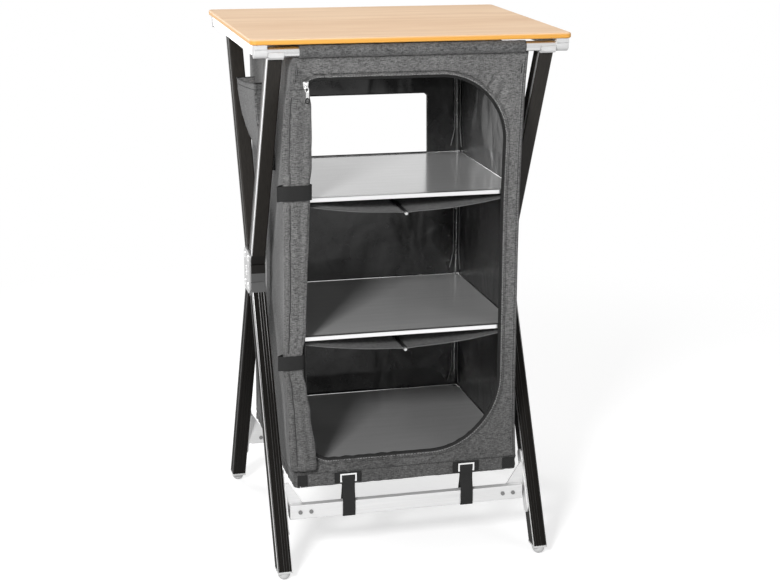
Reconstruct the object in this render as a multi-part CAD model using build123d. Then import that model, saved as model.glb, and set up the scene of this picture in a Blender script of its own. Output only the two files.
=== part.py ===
from build123d import *
import os
from math import atan2, cos, degrees, sqrt, tan

# Folding camping cupboard: a bamboo worktop on a collapsible tube frame, with a hanging
# cloth cabinet between the legs. Millimetres, +Z up, front towards -Y, and the origin on
# the ground under the middle of the cupboard. "Front" names below are mirrored in Y for
# the back, and right hand parts in X for the left.

# Overall size
worktop_height = 1040.0
worktop_width = 611.0
worktop_depth = 511.0
worktop_thickness = 10.6
worktop_corner_radius = 11.0
worktop_edge_round = 3.0

# Clearances
running_gap = 0.3        # between pieces that move past each other
pin_clearance = 0.05     # radial, pin in bore
seat_gap = 0.3           # soft or loose piece above the piece that carries it

# Top tubes, which carry the worktop and the hanging cabinet
tube_diameter = 19.0
tube_wall = 1.5
tube_set_back = 11.5     # tube axis in from the worktop's edge
tube_half_length = 297.0
tube_below_worktop = 14.0  # from the worktop's underside down to the tube axis
cap_diameter = 21.0
cap_length = 25.0
cap_end = 2.0

# Legs: a rectangular aluminium extrusion, turned flat side out
leg_width = 28.0         # along X
leg_depth = 32.0         # across the leg, seen from the side
leg_wall = 1.8
leg_corner = 3.0
leg_from_tube_end = 52.0  # inner face of every leg in from the tube's end
groove_width = 1.8
groove_depth = 0.9
groove_places = (-8.6, -2.4, 2.4, 8.6)   # on the front and back faces of the lower legs
side_groove_width = 7.0
side_groove_depth = 0.8

# Centre hinge: two blocks between two plates, with one pin for each half leg
hinge_height = 549.0
pin_y = 17.0             # pins in front of and behind the middle
pin_above = 28.0         # pins above and below the hinge height
pin_diameter = 8.0
knuckle_radius = 13.0
knuckle_length = 18.0    # solid end of a half leg beyond its pin
plug_length = 22.0
block_height = 17.0
block_overhang = 15.0    # block in front of the pins
plate_thickness = 3.0
plate_radius = 15.0
rivet_head_diameter = 13.0
rivet_head_height = 2.2
small_rivet_diameter = 5.0

# Feet and lower bars
foot_past_tube = 28.6    # lowest point of each foot in front of the tube axis
foot_radius = 12.5
foot_plate_height = 4.0
foot_plate_bottom = 16.0
bar_height = 29.0
bar_depth = 16.0
bar_wall = 1.6
bar_centre_height = 116.0
bar_end_gap = 8.0        # from a bar's end to the leg
bracket_thickness = 3.0
bracket_tab_length = 55.0
bracket_tab_margin = 2.5
gusset_width = 34.0
gusset_rise = 42.0
flange_width = 22.0
flange_length = 128.0
flange_offset_up = 19.0  # middle of the flange above the bar's middle, along the leg
bar_screw_places = (28.0, 49.5)          # from the leg's inner face
screw_diameter = 4.0
screw_head_diameter = 8.0
screw_head_height = 2.0

# Saddles between leg and top tube
saddle_height = 12.4     # from the leg's top to the tube axis
saddle_set_back = 18.6   # tube axis in front of the leg's middle line there
saddle_reach = 12.5      # saddle in front of the tube axis
saddle_clearance = 0.1

# Rails under the worktop
rail_width = 24.0
rail_height = 20.0
rail_wall = 2.0
rail_past_tube = 2.0
rail_slope = 0.564       # slope of the rail's ends, along which the tubes leave
rail_clearance = 0.6
clip_reach = 11.5
clip_drop = 6.2          # how far over the tube axis a clip's jaws end

# Hanging cabinet
cloth = 2.5              # side walls, lining included
panel = 3.0              # front and back panels
cabinet_from_leg = 18.0
# Outer faces of the front and back panels, seen from the side: height, distance in from the
# line under the tubes. The cloth leans in from the tubes and out again to the hem. These and
# all other heights of the cabinet are drawn for the drawn height and stretch with it.
drawn_height = 837.1
hang_inset = 3.0         # line under a tube where the panels meet the tunnels
front_insets = (
    (250.0, 33.0), (350.0, 37.0), (600.0, 38.0), (720.0, 37.0), (800.0, 32.0),
    (870.0, 25.0), (950.0, 15.0),
)
back_insets = ((250.0, 30.0), (700.0, 31.0), (870.0, 24.0), (950.0, 15.0))
front_hem_inset = 22.0
back_hem_inset = 26.0
cabinet_bottom = 167.0
hem_height = 21.0
floor_bottom = 194.3
roof_thickness = 2.0
floor_thickness = 3.0
sleeve_thickness = 1.2
sleeve_clearance = 0.3
sleeve_from_tube_end = 81.5

# Door opening in the front panel, seen from the front
door_margin_left = 34.0   # from the side of the cabinet
door_margin_right = 40.0
door_top_drawn = 959.0
door_bottom_drawn = 219.0
door_top_right_radius = 131.0
door_bottom_right_radius = 140.0
door_top_left_radius = 14.0
door_bottom_left_radius = 40.0
zip_width = 8.0
zip_thickness = 1.8

# Rear window, above the top shelf
window_margin = 76.0
window_bottom_drawn = 728.0
window_top_drawn = 859.0
window_radius = 8.0

# Shelves
shelf_thickness = 7.4
shelf_tops_drawn = (732.5, 461.0)        # the two that lie on slings
shelf_front_gap = 4.0    # from the panels' outer faces where they are nearest
shelf_back_gap = 4.5
shelf_corner_radius = 30.0
shelf_side_gap = 0.4
trim_depth = 11.0
trim_wall = 0.7
sling_thickness = 1.6
sling_sag = 26.0
sling_hem_width = 9.0
sling_hem_thickness = 3.0
sling_rod_x = 0.0
sling_rod_diameter = 5.6
sling_rod_sleeve = 1.4
sling_rod_clearance = 0.1

# Rolled door, tied to the left of the opening: drawn height, left edge and right edge from
# the left of the opening, depth
roll_rows = (
    (937.0, -39.0, 2.0, 9.0),
    (911.0, -41.0, 7.0, 13.0),
    (764.0, -39.0, 2.0, 17.0),
    (735.0, -39.0, 2.0, 17.0),
    (588.0, -40.0, 6.0, 22.0),
    (433.0, -38.0, -10.0, 18.0),
    (405.0, -38.0, -10.0, 18.0),
    (315.0, -39.0, 2.0, 22.0),
    (201.0, -42.0, 12.0, 16.0),
)
roll_gap = 0.3
# Folds across the roll's front: start, crest and end as shares of its width, and the
# crest's share of its depth; the folds meet at roll_crease of the depth
roll_folds = ((0.0, 0.16, 0.36, 0.8), (0.36, 0.55, 0.74, 1.0), (0.74, 0.9, 1.0, 0.62))
roll_crease = 0.66
ties_drawn = ((735.0, 764.0), (405.0, 433.0))
tie_thickness = 1.4
tie_gap = 0.3
tie_tail = 46.0          # stretch of the tie along the side wall

# Zip slider and its pull, parked at the top left
slider_from_door = -5.0
slider_length = 12.0
slider_height = 9.0
slider_depth = 4.0
bail_rise = 4.0
bail_wire = 1.4
pull_length = 23.0
pull_width = 5.0
pull_thickness = 1.4

# Side pockets, between the upper legs
pocket_top_drawn = 915.0
pocket_bottom_drawn = 752.0
pocket_front_y = -60.0
pocket_bulge_top = 36.0
pocket_bulge_middle = 27.0   # a third of the way up
pocket_bulge_bottom = 10.0
pocket_wall = 1.8
pocket_leg_gap = 8.0

# Straps that tie the hem to the lower bars
strap_places = (-120.0, 120.0)
strap_width = 25.0
strap_thickness = 1.2
ring_width = 33.0
ring_height = 17.0
ring_wire = 3.0
ring_bottom = 169.0
ring_stand_off = 2.1     # from the cloth to the ring
tab_height = 12.0
neck_drop = 5.0          # below the hem, where the loop widens towards the bar

# Worked out from the above
tube_y = worktop_depth / 2 - tube_set_back
foot_y = tube_y + foot_past_tube
leg_inner_x = tube_half_length - leg_from_tube_end
rail_outer_x = tube_half_length + rail_past_tube
sleeve_half_length = tube_half_length - sleeve_from_tube_end
cabinet_half_width = leg_inner_x - cabinet_from_leg
worktop_bottom = worktop_height - worktop_thickness
tube_z = worktop_bottom - tube_below_worktop
tube_radius = tube_diameter / 2
sleeve_radius = tube_radius + sleeve_clearance + sleeve_thickness
leg_outer_x = leg_inner_x + leg_width
leg_top_z = tube_z - saddle_height
leg_foot_z = foot_plate_bottom + foot_plate_height
upper_pin_z = hinge_height + pin_above
lower_pin_z = hinge_height - pin_above
upper_splay = atan2(tube_y - saddle_set_back - pin_y, leg_top_z - upper_pin_z)
lower_splay = atan2(foot_y - pin_y, lower_pin_z - foot_radius)
plate_outer_x = leg_outer_x + running_gap
plate_inner_x = leg_inner_x - running_gap
block_front_y = pin_y + block_overhang
cabinet_top = tube_z - sleeve_radius - seat_gap
panel_bottom = cabinet_bottom + hem_height
wall_inner_x = cabinet_half_width - cloth
stretch = (cabinet_top - cabinet_bottom) / drawn_height


def drawn(z):
    """Height of a place in the cabinet that was drawn at height z."""
    return cabinet_bottom + (z - cabinet_bottom) * stretch


hang_y = tube_y - hang_inset
front_hem_y = hang_y - front_hem_inset
back_hem_y = hang_y - back_hem_inset
front_profile = ((panel_bottom, front_hem_y),
                 *((drawn(z), hang_y - inset) for z, inset in front_insets),
                 (cabinet_top, hang_y))
back_profile = ((panel_bottom, back_hem_y),
                *((drawn(z), hang_y - inset) for z, inset in back_insets),
                (cabinet_top, hang_y))
shelf_front_y = min(depth for z, depth in front_profile) - shelf_front_gap
shelf_back_y = min(depth for z, depth in back_profile) - shelf_back_gap
shelf_tops = tuple(drawn(z) for z in shelf_tops_drawn)
door_left = -cabinet_half_width + door_margin_left
door_right = cabinet_half_width - door_margin_right
door_top = drawn(door_top_drawn)
door_bottom = drawn(door_bottom_drawn)
window_half_width = cabinet_half_width - window_margin
window_bottom = drawn(window_bottom_drawn)
window_top = drawn(window_top_drawn)
roll_sections = tuple((drawn(z), door_left + left, door_left + right, depth)
                      for z, left, right, depth in roll_rows)
tie_heights = tuple((drawn(low), drawn(high)) for low, high in ties_drawn)
slider_x = door_left + slider_from_door
pocket_top = drawn(pocket_top_drawn)
pocket_bottom = drawn(pocket_bottom_drawn)
floor_top = floor_bottom + floor_thickness
bar_y = pin_y + (lower_pin_z - bar_centre_height) * tan(lower_splay)
bar_bottom = bar_centre_height - bar_height / 2
bar_top = bar_centre_height + bar_height / 2
bar_half_length = leg_inner_x - bar_end_gap
shelf_half_width = wall_inner_x - shelf_side_gap


def block(x0, x1, y0, y1, z0, z1):
    """Box between two corners."""
    middle = Pos((x0 + x1) / 2, (y0 + y1) / 2, (z0 + z1) / 2)
    return middle * Box(abs(x1 - x0), abs(y1 - y0), abs(z1 - z0))


def bar_x(x0, x1, y, z, radius):
    """Round bar along X."""
    return Pos((x0 + x1) / 2, y, z) * Rot(0, 90, 0) * Cylinder(radius, abs(x1 - x0))


def bar_along_y(x, y0, y1, z, radius):
    """Round bar along Y."""
    return Pos(x, (y0 + y1) / 2, z) * Rot(90, 0, 0) * Cylinder(radius, abs(y1 - y0))


def side_shape(points, x0, x1):
    """Prism along X from an outline given as (y, z) points."""
    outline = make_face(Polyline(*points, close=True))
    return extrude(Plane.YZ.offset(x0) * outline, amount=x1 - x0)


def depth_at(profile, z):
    """Distance of a panel's outer face from the middle at height z."""
    for (low, low_depth), (high, high_depth) in zip(profile, profile[1:]):
        if z <= high:
            break
    return low_depth + (z - low) / (high - low) * (high_depth - low_depth)


def panel_outline(profile, inner, outer):
    """Closed (y, z) outline along a panel, between two distances outside its outer face."""
    points = [(-depth - outer, z) for z, depth in profile]
    return points + [(-depth - inner, z) for z, depth in reversed(profile)]


def to_left(shape):
    return mirror(shape, about=Plane.YZ)


def to_back(shape):
    return mirror(shape, about=Plane.XZ)


def both_sides(shape):
    return [shape, to_left(shape)]


def save(name, *solids):
    """One STEP file for each sub-part."""
    pieces = []
    for solid in solids:
        pieces.extend(solid.solids())
    shape = pieces[0] if len(pieces) == 1 else Compound(pieces)
    export_step(shape, f"parts/{name}.step")


def leg_section(grooved):
    """Hollow extrusion, X across and Y through the leg's depth."""
    outer = fillet(Rectangle(leg_width, leg_depth).vertices(), leg_corner)
    inner = fillet(
        Rectangle(leg_width - 2 * leg_wall, leg_depth - 2 * leg_wall).vertices(),
        leg_corner - leg_wall / 2,
    )
    section = outer - inner
    if grooved:
        for face in (-1, 1):
            for place in groove_places:
                middle = Pos(place, face * leg_depth / 2)
                section -= middle * Rectangle(groove_width, 2 * groove_depth)
    side = Pos(leg_width / 2, 0) * Rectangle(2 * side_groove_depth, side_groove_width)
    return section - side


def half_leg(splay, length, grooved):
    """Right front half leg, its pin at the origin, leaning forward as it rises."""
    raw = extrude(Pos(0, 0, knuckle_length) * leg_section(grooved), amount=length)
    return Pos(leg_inner_x + leg_width / 2, 0, 0) * Rot(degrees(splay), 0, 0) * raw


def knuckle(splay, shoulder):
    """Moulded end of a half leg: a round eye, a square outer corner and a plug."""
    half = leg_depth / 2
    body = block(0, leg_width, -half, half, 0, knuckle_length)
    corner = block(0, leg_width, -half, 0, -half, 0)
    thinner = 2 * leg_wall + running_gap
    plug = extrude(
        Pos(leg_width / 2, 0, knuckle_length)
        * RectangleRounded(leg_width - thinner, leg_depth - thinner, leg_corner),
        amount=plug_length,
    )
    eye = bar_x(0, leg_width, 0, 0, knuckle_radius)
    tilt = Rot(degrees(splay), 0, 0)
    above_shoulder = block(-1, leg_width + 1, -2 * leg_depth, 2 * leg_depth,
                           shoulder, shoulder + 4 * leg_depth)
    shape = tilt * (body + plug + eye) + (tilt * corner & above_shoulder)
    shape -= bar_x(-1, leg_width + 1, 0, 0, pin_diameter / 2 + pin_clearance)
    return Pos(leg_inner_x, 0, 0) * shape


def upper_front(shape):
    return Pos(0, -pin_y, upper_pin_z) * shape


def lower_front(shape):
    return Pos(0, -pin_y, lower_pin_z) * mirror(shape, about=Plane.XY)


def leg_pieces():
    """Half legs and their knuckles, for the right front, upper and lower."""
    shoulder = block_height - pin_above + running_gap
    trim_box = 4 * worktop_depth
    upper_length = (leg_top_z - upper_pin_z) / cos(upper_splay) + leg_depth
    upper = upper_front(half_leg(upper_splay, upper_length, False))
    upper -= block(0, trim_box, -trim_box, trim_box, leg_top_z, 2 * worktop_height)
    lower_length = lower_pin_z / cos(lower_splay)
    lower = lower_front(half_leg(lower_splay, lower_length, True))
    lower -= block(0, trim_box, -trim_box, trim_box, -worktop_height, leg_foot_z)
    return (
        upper, upper_front(knuckle(upper_splay, shoulder)),
        lower, lower_front(knuckle(lower_splay, shoulder)),
    )


def hinge_block():
    """Right upper block: a seat for the front eye and one for the back eye."""
    shape = block(plate_inner_x, plate_outer_x, -block_front_y, block_front_y,
                  hinge_height, hinge_height + block_height)
    for side in (-1, 1):
        shape -= bar_x(plate_inner_x - 1, plate_outer_x + 1, side * pin_y, upper_pin_z,
                       knuckle_radius + running_gap)
    return shape


def hinge_plate():
    """Outline through the four pins, with their holes; drawn in X from 0."""
    outline = RectangleRounded(2 * (pin_y + plate_radius), 2 * (pin_above + plate_radius),
                               plate_radius)
    for y in (-pin_y, pin_y):
        for z in (-pin_above, pin_above):
            outline -= Pos(y, z) * Circle(pin_diameter / 2)
    return extrude(Plane.YZ * (Pos(0, hinge_height) * outline), amount=plate_thickness)


def rivet(y, z, diameter, head_diameter):
    """Right hand rivet through both plates, with a domed head on each side."""
    inner = plate_inner_x - plate_thickness
    outer = plate_outer_x + plate_thickness
    shape = bar_x(inner, outer, y, z, diameter / 2)
    for x, turn in ((outer, 90), (inner, -90)):
        head = Cone(head_diameter / 2, head_diameter / 3, rivet_head_height)
        centre = x + (rivet_head_height / 2 if turn > 0 else -rivet_head_height / 2)
        shape += Pos(centre, y, z) * Rot(0, turn, 0) * head
    return shape


def hinge():
    plate = hinge_plate()
    plates = [Pos(plate_outer_x, 0, 0) * plate,
              Pos(plate_inner_x - plate_thickness, 0, 0) * plate]
    upper = hinge_block()
    lower = mirror(upper, about=Plane.XY.offset(hinge_height))
    pins = []
    for y in (-pin_y, pin_y):
        for z in (upper_pin_z, lower_pin_z):
            pins.append(rivet(y, z, pin_diameter, rivet_head_diameter))
    block_rivets = []
    for z in (hinge_height + block_height / 3, hinge_height - block_height / 3):
        small = rivet(0, z, small_rivet_diameter, 2 * small_rivet_diameter)
        block_rivets.append(small)
        upper -= small
        lower -= small
        plates = [piece - small for piece in plates]
    save("hinge_plates", *plates, *[to_left(piece) for piece in plates])
    save("hinge_blocks_upper", *both_sides(upper))
    save("hinge_blocks_lower", *both_sides(lower))
    pins.extend(block_rivets)
    save("hinge_pins", *pins, *[to_left(pin) for pin in pins])


def top_tube():
    tube = bar_x(-tube_half_length, tube_half_length, -tube_y, tube_z, tube_radius)
    return tube - bar_x(-tube_half_length, tube_half_length, -tube_y, tube_z,
                        tube_radius - tube_wall)


def tube_cap():
    """Right hand end cap over a top tube."""
    outer_end = tube_half_length + cap_end
    cap = bar_x(outer_end - cap_length, outer_end, -tube_y, tube_z, cap_diameter / 2)
    cap -= bar_x(0, tube_half_length, -tube_y, tube_z, tube_radius)
    return fillet(cap.faces().sort_by(Axis.X)[-1].edges(), cap_end / 2)


def saddle():
    """Right hand cradle on the leg's cut top, under the top tube."""
    leg_back = tube_y - saddle_set_back - leg_depth / 2 / cos(upper_splay)
    front = tube_y + saddle_reach
    points = [
        (-front, leg_top_z + saddle_height / 3), (-front + saddle_height / 3, leg_top_z),
        (-leg_back, leg_top_z), (-leg_back, leg_top_z + saddle_height / 4),
        (-tube_y + saddle_reach, tube_z + saddle_height / 5),
        (-tube_y, tube_z + saddle_height / 5), (-front, tube_z),
    ]
    shape = side_shape(points, leg_inner_x, leg_outer_x)
    return shape - bar_x(0, 2 * leg_outer_x, -tube_y, tube_z,
                         tube_radius + saddle_clearance)


def sleeve():
    """Cloth tunnel round the top tube, from which the cabinet hangs."""
    outer = bar_x(-sleeve_half_length, sleeve_half_length, -tube_y, tube_z, sleeve_radius)
    return outer - bar_x(-sleeve_half_length - 1, sleeve_half_length + 1, -tube_y, tube_z,
                         tube_radius + sleeve_clearance)


def foot():
    """Right front foot: an insert plate under the leg and a half round glide."""
    leg_y = pin_y + (lower_pin_z - leg_foot_z) * tan(lower_splay)
    half = leg_depth / 2 / cos(lower_splay)
    plate = block(leg_inner_x, leg_outer_x, -leg_y - half, -leg_y + half,
                  foot_plate_bottom, leg_foot_z)
    ball = Pos(leg_inner_x + leg_width / 2, -foot_y, foot_radius) * Sphere(foot_radius)
    below = block(0, 2 * leg_outer_x, -2 * foot_y, 0, -1, foot_plate_bottom)
    neck = block(leg_inner_x + leg_wall, leg_outer_x - leg_wall, -foot_y - foot_radius / 2,
                 -foot_y + foot_radius / 2, foot_radius, foot_plate_bottom)
    return plate + (ball & below) + neck


def lower_bar():
    outer = block(-bar_half_length, bar_half_length, -bar_y - bar_depth / 2,
                  -bar_y + bar_depth / 2, bar_bottom, bar_top)
    outer = fillet(outer.edges().filter_by(Axis.X), bar_wall)
    inner = block(-bar_half_length, bar_half_length, -bar_y - bar_depth / 2 + bar_wall,
                  -bar_y + bar_depth / 2 - bar_wall, bar_bottom + bar_wall,
                  bar_top - bar_wall)
    return outer - inner


def bar_bracket():
    """Right front bracket: a tab behind the bar, a gusset over it, a flange on the leg."""
    back = -bar_y + bar_depth / 2
    flange_x = leg_inner_x - bracket_thickness
    tab_start = flange_x - bracket_tab_length
    points = [
        (tab_start, bar_bottom + bracket_tab_margin), (flange_x, bar_bottom + bracket_tab_margin),
        (flange_x, bar_top + gusset_rise), (flange_x - gusset_width / 6, bar_top + gusset_rise),
        (flange_x - gusset_width, bar_top - bracket_tab_margin),
        (tab_start, bar_top - bracket_tab_margin),
    ]
    outline = make_face(Polyline(*points, close=True))
    plate = extrude(Plane.XZ.offset(-back) * outline, amount=-bracket_thickness)
    slot = SlotOverall(flange_length, flange_width)
    flange = extrude(Plane.YZ * (Pos(flange_offset_up, 0) * slot), amount=bracket_thickness)
    flange = Rot(90 - degrees(lower_splay), 0, 0) * flange
    flange = Pos(flange_x, -bar_y, bar_centre_height) * flange
    return plate + flange


def bar_screw(place):
    """Right front screw through bar and bracket tab."""
    x = leg_inner_x - place
    head_face = -bar_y - bar_depth / 2
    shaft_end = -bar_y + bar_depth / 2 + bracket_thickness
    shank = bar_along_y(x, head_face, shaft_end, bar_centre_height, screw_diameter / 2)
    head = bar_along_y(x, head_face - screw_head_height, head_face, bar_centre_height,
                       screw_head_diameter / 2)
    nut = bar_along_y(x, shaft_end, shaft_end + screw_head_height, bar_centre_height,
                      screw_head_diameter / 2)
    return shank + head + nut


def frame():
    """Four U frames: legs, knuckles, tube or bar, and what is fastened to them."""
    upper, upper_knuckle, lower, lower_knuckle = leg_pieces()
    foot_piece = foot()
    screws = [bar_screw(place) for place in bar_screw_places]
    bar = lower_bar()
    bracket = bar_bracket()
    for screw in screws:
        bar -= screw
        bar -= to_left(screw)
        bracket -= screw
    for where, place in (("front", lambda shape: shape), ("back", to_back)):
        save(f"upper_{where}_leg_right", place(upper))
        save(f"upper_{where}_leg_left", place(to_left(upper)))
        save(f"upper_{where}_knuckles", *both_sides(place(upper_knuckle)))
        save(f"{where}_top_tube", place(top_tube()))
        save(f"{where}_tube_caps", *both_sides(place(tube_cap())))
        save(f"{where}_tube_saddles", *both_sides(place(saddle())))
        save(f"{where}_tube_sleeve", place(sleeve()))
        save(f"lower_{where}_leg_right", place(lower))
        save(f"lower_{where}_leg_left", place(to_left(lower)))
        save(f"lower_{where}_knuckles", *both_sides(place(lower_knuckle)))
        save(f"{where}_feet", *both_sides(place(foot_piece)))
        save(f"{where}_lower_bar", place(bar))
        save(f"{where}_bar_brackets", *both_sides(place(bracket)))
        save(f"{where}_bar_screws",
             *[side for screw in screws for side in both_sides(place(screw))])


def worktop():
    panel_shape = extrude(
        Pos(0, 0, worktop_bottom)
        * RectangleRounded(worktop_width, worktop_depth, worktop_corner_radius),
        amount=worktop_thickness,
    )
    rims = panel_shape.faces().sort_by(Axis.Z)
    edges = rims[0].edges() + rims[-1].edges()
    save("worktop_panel", fillet(edges, worktop_edge_round))


def rail_end_y(z):
    """Where the rail's sloping end lies at height z, clear of the leaving tube."""
    radius = cap_diameter / 2
    lean = 1 / sqrt(1 + rail_slope ** 2)
    touch_y = tube_y - radius * lean
    touch_z = tube_z + radius * rail_slope * lean
    return touch_y - rail_clearance - (touch_z - z) * rail_slope


def rails():
    """Channel rails under the worktop's sides, with a clip over each tube end."""
    bottom = worktop_bottom - rail_height
    low_y = rail_end_y(bottom)
    high_y = rail_end_y(worktop_bottom)
    ends = [(-low_y, bottom), (low_y, bottom), (high_y, worktop_bottom),
            (-high_y, worktop_bottom)]
    inner_x = rail_outer_x - rail_width
    rail = side_shape(ends, inner_x, rail_outer_x)
    rail -= block(inner_x + rail_wall, rail_outer_x - rail_wall, -worktop_depth,
                  worktop_depth, bottom - 1, worktop_bottom - rail_wall)
    jaw_z = tube_z + clip_drop
    jaw = [(-tube_y - clip_reach, jaw_z), (-rail_end_y(jaw_z), jaw_z),
           (-high_y, worktop_bottom), (-tube_y - clip_reach, worktop_bottom)]
    clip = side_shape(jaw, inner_x, rail_outer_x)
    clip -= bar_x(0, 2 * rail_outer_x, -tube_y, tube_z, cap_diameter / 2 + running_gap)
    save("side_rails", *both_sides(rail))
    save("rail_end_clips", *both_sides(clip), *both_sides(to_back(clip)))


def door_outline():
    """Face of the door opening, X across and Z up, with four different corners."""
    width = door_right - door_left
    height = door_top - door_bottom
    face = Pos(door_left + width / 2, door_bottom + height / 2) * Rectangle(width, height)
    corners = (
        (door_right, door_top, door_top_right_radius),
        (door_right, door_bottom, door_bottom_right_radius),
        (door_left, door_top, door_top_left_radius),
        (door_left, door_bottom, door_bottom_left_radius),
    )
    for x, z, radius in corners:
        corner = face.vertices().sort_by_distance((x, z, 0))[0]
        face = fillet(corner, radius)
    return face


def front_plane(y):
    """Upright plane at depth -y; its normal points forward."""
    return Plane.XZ.offset(y)


def cabinet_shell():
    """Cloth body: walls, front with the door opening, back with the window."""
    half = cabinet_half_width
    front = [(-depth + panel, z) for z, depth in front_profile]
    back = [(depth - panel, z) for z, depth in reversed(back_profile)]
    wall = side_shape(front + back, wall_inner_x, half)
    door = extrude(front_plane(0) * door_outline(), amount=worktop_depth)
    front = side_shape(panel_outline(front_profile, -panel, 0), -half, half) - door
    window = Pos(0, (window_top + window_bottom) / 2) * RectangleRounded(
        2 * window_half_width, window_top - window_bottom, window_radius)
    back = side_shape(panel_outline(back_profile, -panel, 0), -half, half)
    back -= extrude(front_plane(0) * window, amount=worktop_depth)
    floor = block(-wall_inner_x, wall_inner_x, -depth_at(front_profile, floor_top) + panel,
                  depth_at(back_profile, floor_top) - panel, floor_bottom, floor_top)
    roof_bottom = cabinet_top - roof_thickness
    roof = block(-wall_inner_x, wall_inner_x, -depth_at(front_profile, roof_bottom) + panel,
                 depth_at(back_profile, roof_bottom) - panel, roof_bottom, cabinet_top)
    save("cabinet_walls", *both_sides(wall))
    save("cabinet_front", front)
    save("cabinet_back", to_back(back))
    save("cabinet_floor", floor)
    save("cabinet_roof", roof)


def zip_band():
    """Zip tape round the door opening, from under the slider to the bottom left."""
    opening = door_outline()
    band = offset(opening, amount=zip_width) - opening
    cut_x = door_left + door_bottom_left_radius
    keep_from = Pos(cut_x + worktop_width / 2, (door_top + door_bottom) / 2)
    keep = keep_from * Rectangle(worktop_width, worktop_height)
    start_x = slider_x - slider_length
    start = Pos((start_x + cut_x) / 2, door_top + zip_width / 2) * Rectangle(
        cut_x - start_x, zip_width)
    tape = (band & keep) + start
    half = cabinet_half_width
    skin = side_shape(panel_outline(front_profile, 0, zip_thickness), -half, half)
    save("door_zip", skin & extrude(front_plane(0) * tape, amount=worktop_depth))


def roll_back(height):
    """Depth of the rolled door's flat back, the same all through a tie."""
    for bottom, top in tie_heights:
        if bottom <= height <= top:
            height = max(bottom, top, key=lambda z: depth_at(front_profile, z))
    return depth_at(front_profile, height) + 2 * tie_gap + tie_thickness + roll_gap


def roll_outline(height, left, right, depth):
    """Section of the rolled door: flat at the back, with three folds in front."""
    back = -roll_back(height)
    front = back - depth
    width = right - left
    edges = []
    previous = Vector(left, back)
    for _, crest, last, swell in roll_folds:
        end_depth = 0.0 if last == 1.0 else roll_crease
        end = Vector(left + last * width, back + end_depth * (front - back))
        top = Vector(left + crest * width, back + swell * (front - back))
        edges.append(ThreePointArc(previous, top, end))
        previous = end
    edges.append(Line(previous, Vector(left, back)))
    return make_face(Curve(edges))


def rolled_door():
    """Door panel gathered into a roll that hangs along the left of the opening."""
    sections = [Pos(0, 0, section[0]) * roll_outline(*section) for section in roll_sections]
    save("rolled_door", loft(sections, ruled=True))


def door_ties():
    """Webbing bands round the roll, each sewn to the side wall."""
    bands = []
    for bottom, top in tie_heights:
        roll = roll_outline(*[section for section in roll_sections if section[0] == top][0])
        ring = offset(roll, amount=tie_gap + tie_thickness) - offset(roll, amount=tie_gap)
        band = extrude(Pos(0, 0, bottom) * ring, amount=top - bottom)
        outer = -cabinet_half_width - seat_gap
        start = -roll_back(top) + tie_gap + tie_thickness / 2
        tail = block(outer - tie_thickness, outer, start, start + tie_tail, bottom, top)
        bands.append(band + tail)
    save("door_ties", *bands)


def zip_slider():
    """Slider on the top stretch of the zip, with a bail along it."""
    z = door_top + zip_width / 2
    face = -depth_at(front_profile, z + slider_height / 2) - zip_thickness - seat_gap
    body = block(slider_x - slider_length / 2, slider_x + slider_length / 2,
                 face - slider_depth, face, z - slider_height / 2, z + slider_height / 2)
    body = fillet(body.edges().filter_by(Axis.Y), slider_height / 4)
    bail_y = face - slider_depth - bail_rise + bail_wire / 2
    bail_half = slider_length / 3
    bail = bar_x(slider_x - bail_half, slider_x + bail_half, bail_y, z, bail_wire / 2)
    for side in (-1, 1):
        post = slider_x + side * (bail_half - bail_wire / 2)
        bail += bar_along_y(post, bail_y, face - slider_depth, z, bail_wire / 2)
    save("zip_slider", body + bail)
    eye_radius = bail_wire / 2 + pin_clearance
    eye = bar_x(slider_x - pull_thickness, slider_x + pull_thickness, bail_y, z,
                eye_radius + pull_thickness)
    tab = block(slider_x - pull_width / 2, slider_x + pull_width / 2,
                bail_y - pull_thickness / 2, bail_y + pull_thickness / 2,
                z - pull_length, z - eye_radius - pull_thickness / 2)
    tab -= bar_along_y(slider_x, bail_y - pull_thickness, bail_y + pull_thickness,
                       z - pull_length + pull_width / 2, pull_width / 4)
    save("zip_pull", eye + tab - bar_x(slider_x - pull_width, slider_x + pull_width, bail_y, z,
                                       eye_radius))


def pocket():
    """Right hand gusseted pocket on the side wall, open at the top."""
    inner_x = cabinet_half_width + seat_gap

    def leg_front(z):
        return (pin_y + (z - upper_pin_z) * tan(upper_splay)
                - leg_depth / 2 / cos(upper_splay) - pocket_leg_gap)

    def ring(z, bulge, shrink):
        x0 = inner_x + shrink
        x1 = inner_x + bulge - shrink
        y0 = pocket_front_y + shrink
        y1 = leg_front(z) - shrink
        return Pos((x0 + x1) / 2, (y0 + y1) / 2, z) * Rectangle(x1 - x0, y1 - y0)

    middle = (pocket_top + 2 * pocket_bottom) / 3
    outer = loft([ring(pocket_bottom, pocket_bulge_bottom, 0),
                  ring(middle, pocket_bulge_middle, 0),
                  ring(pocket_top, pocket_bulge_top, 0)], ruled=True)
    inner = loft([ring(pocket_bottom + 2 * pocket_wall, pocket_bulge_bottom, pocket_wall),
                  ring(middle, pocket_bulge_middle, pocket_wall),
                  ring(pocket_top, pocket_bulge_top, pocket_wall)], ruled=True)
    return outer - inner


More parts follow.
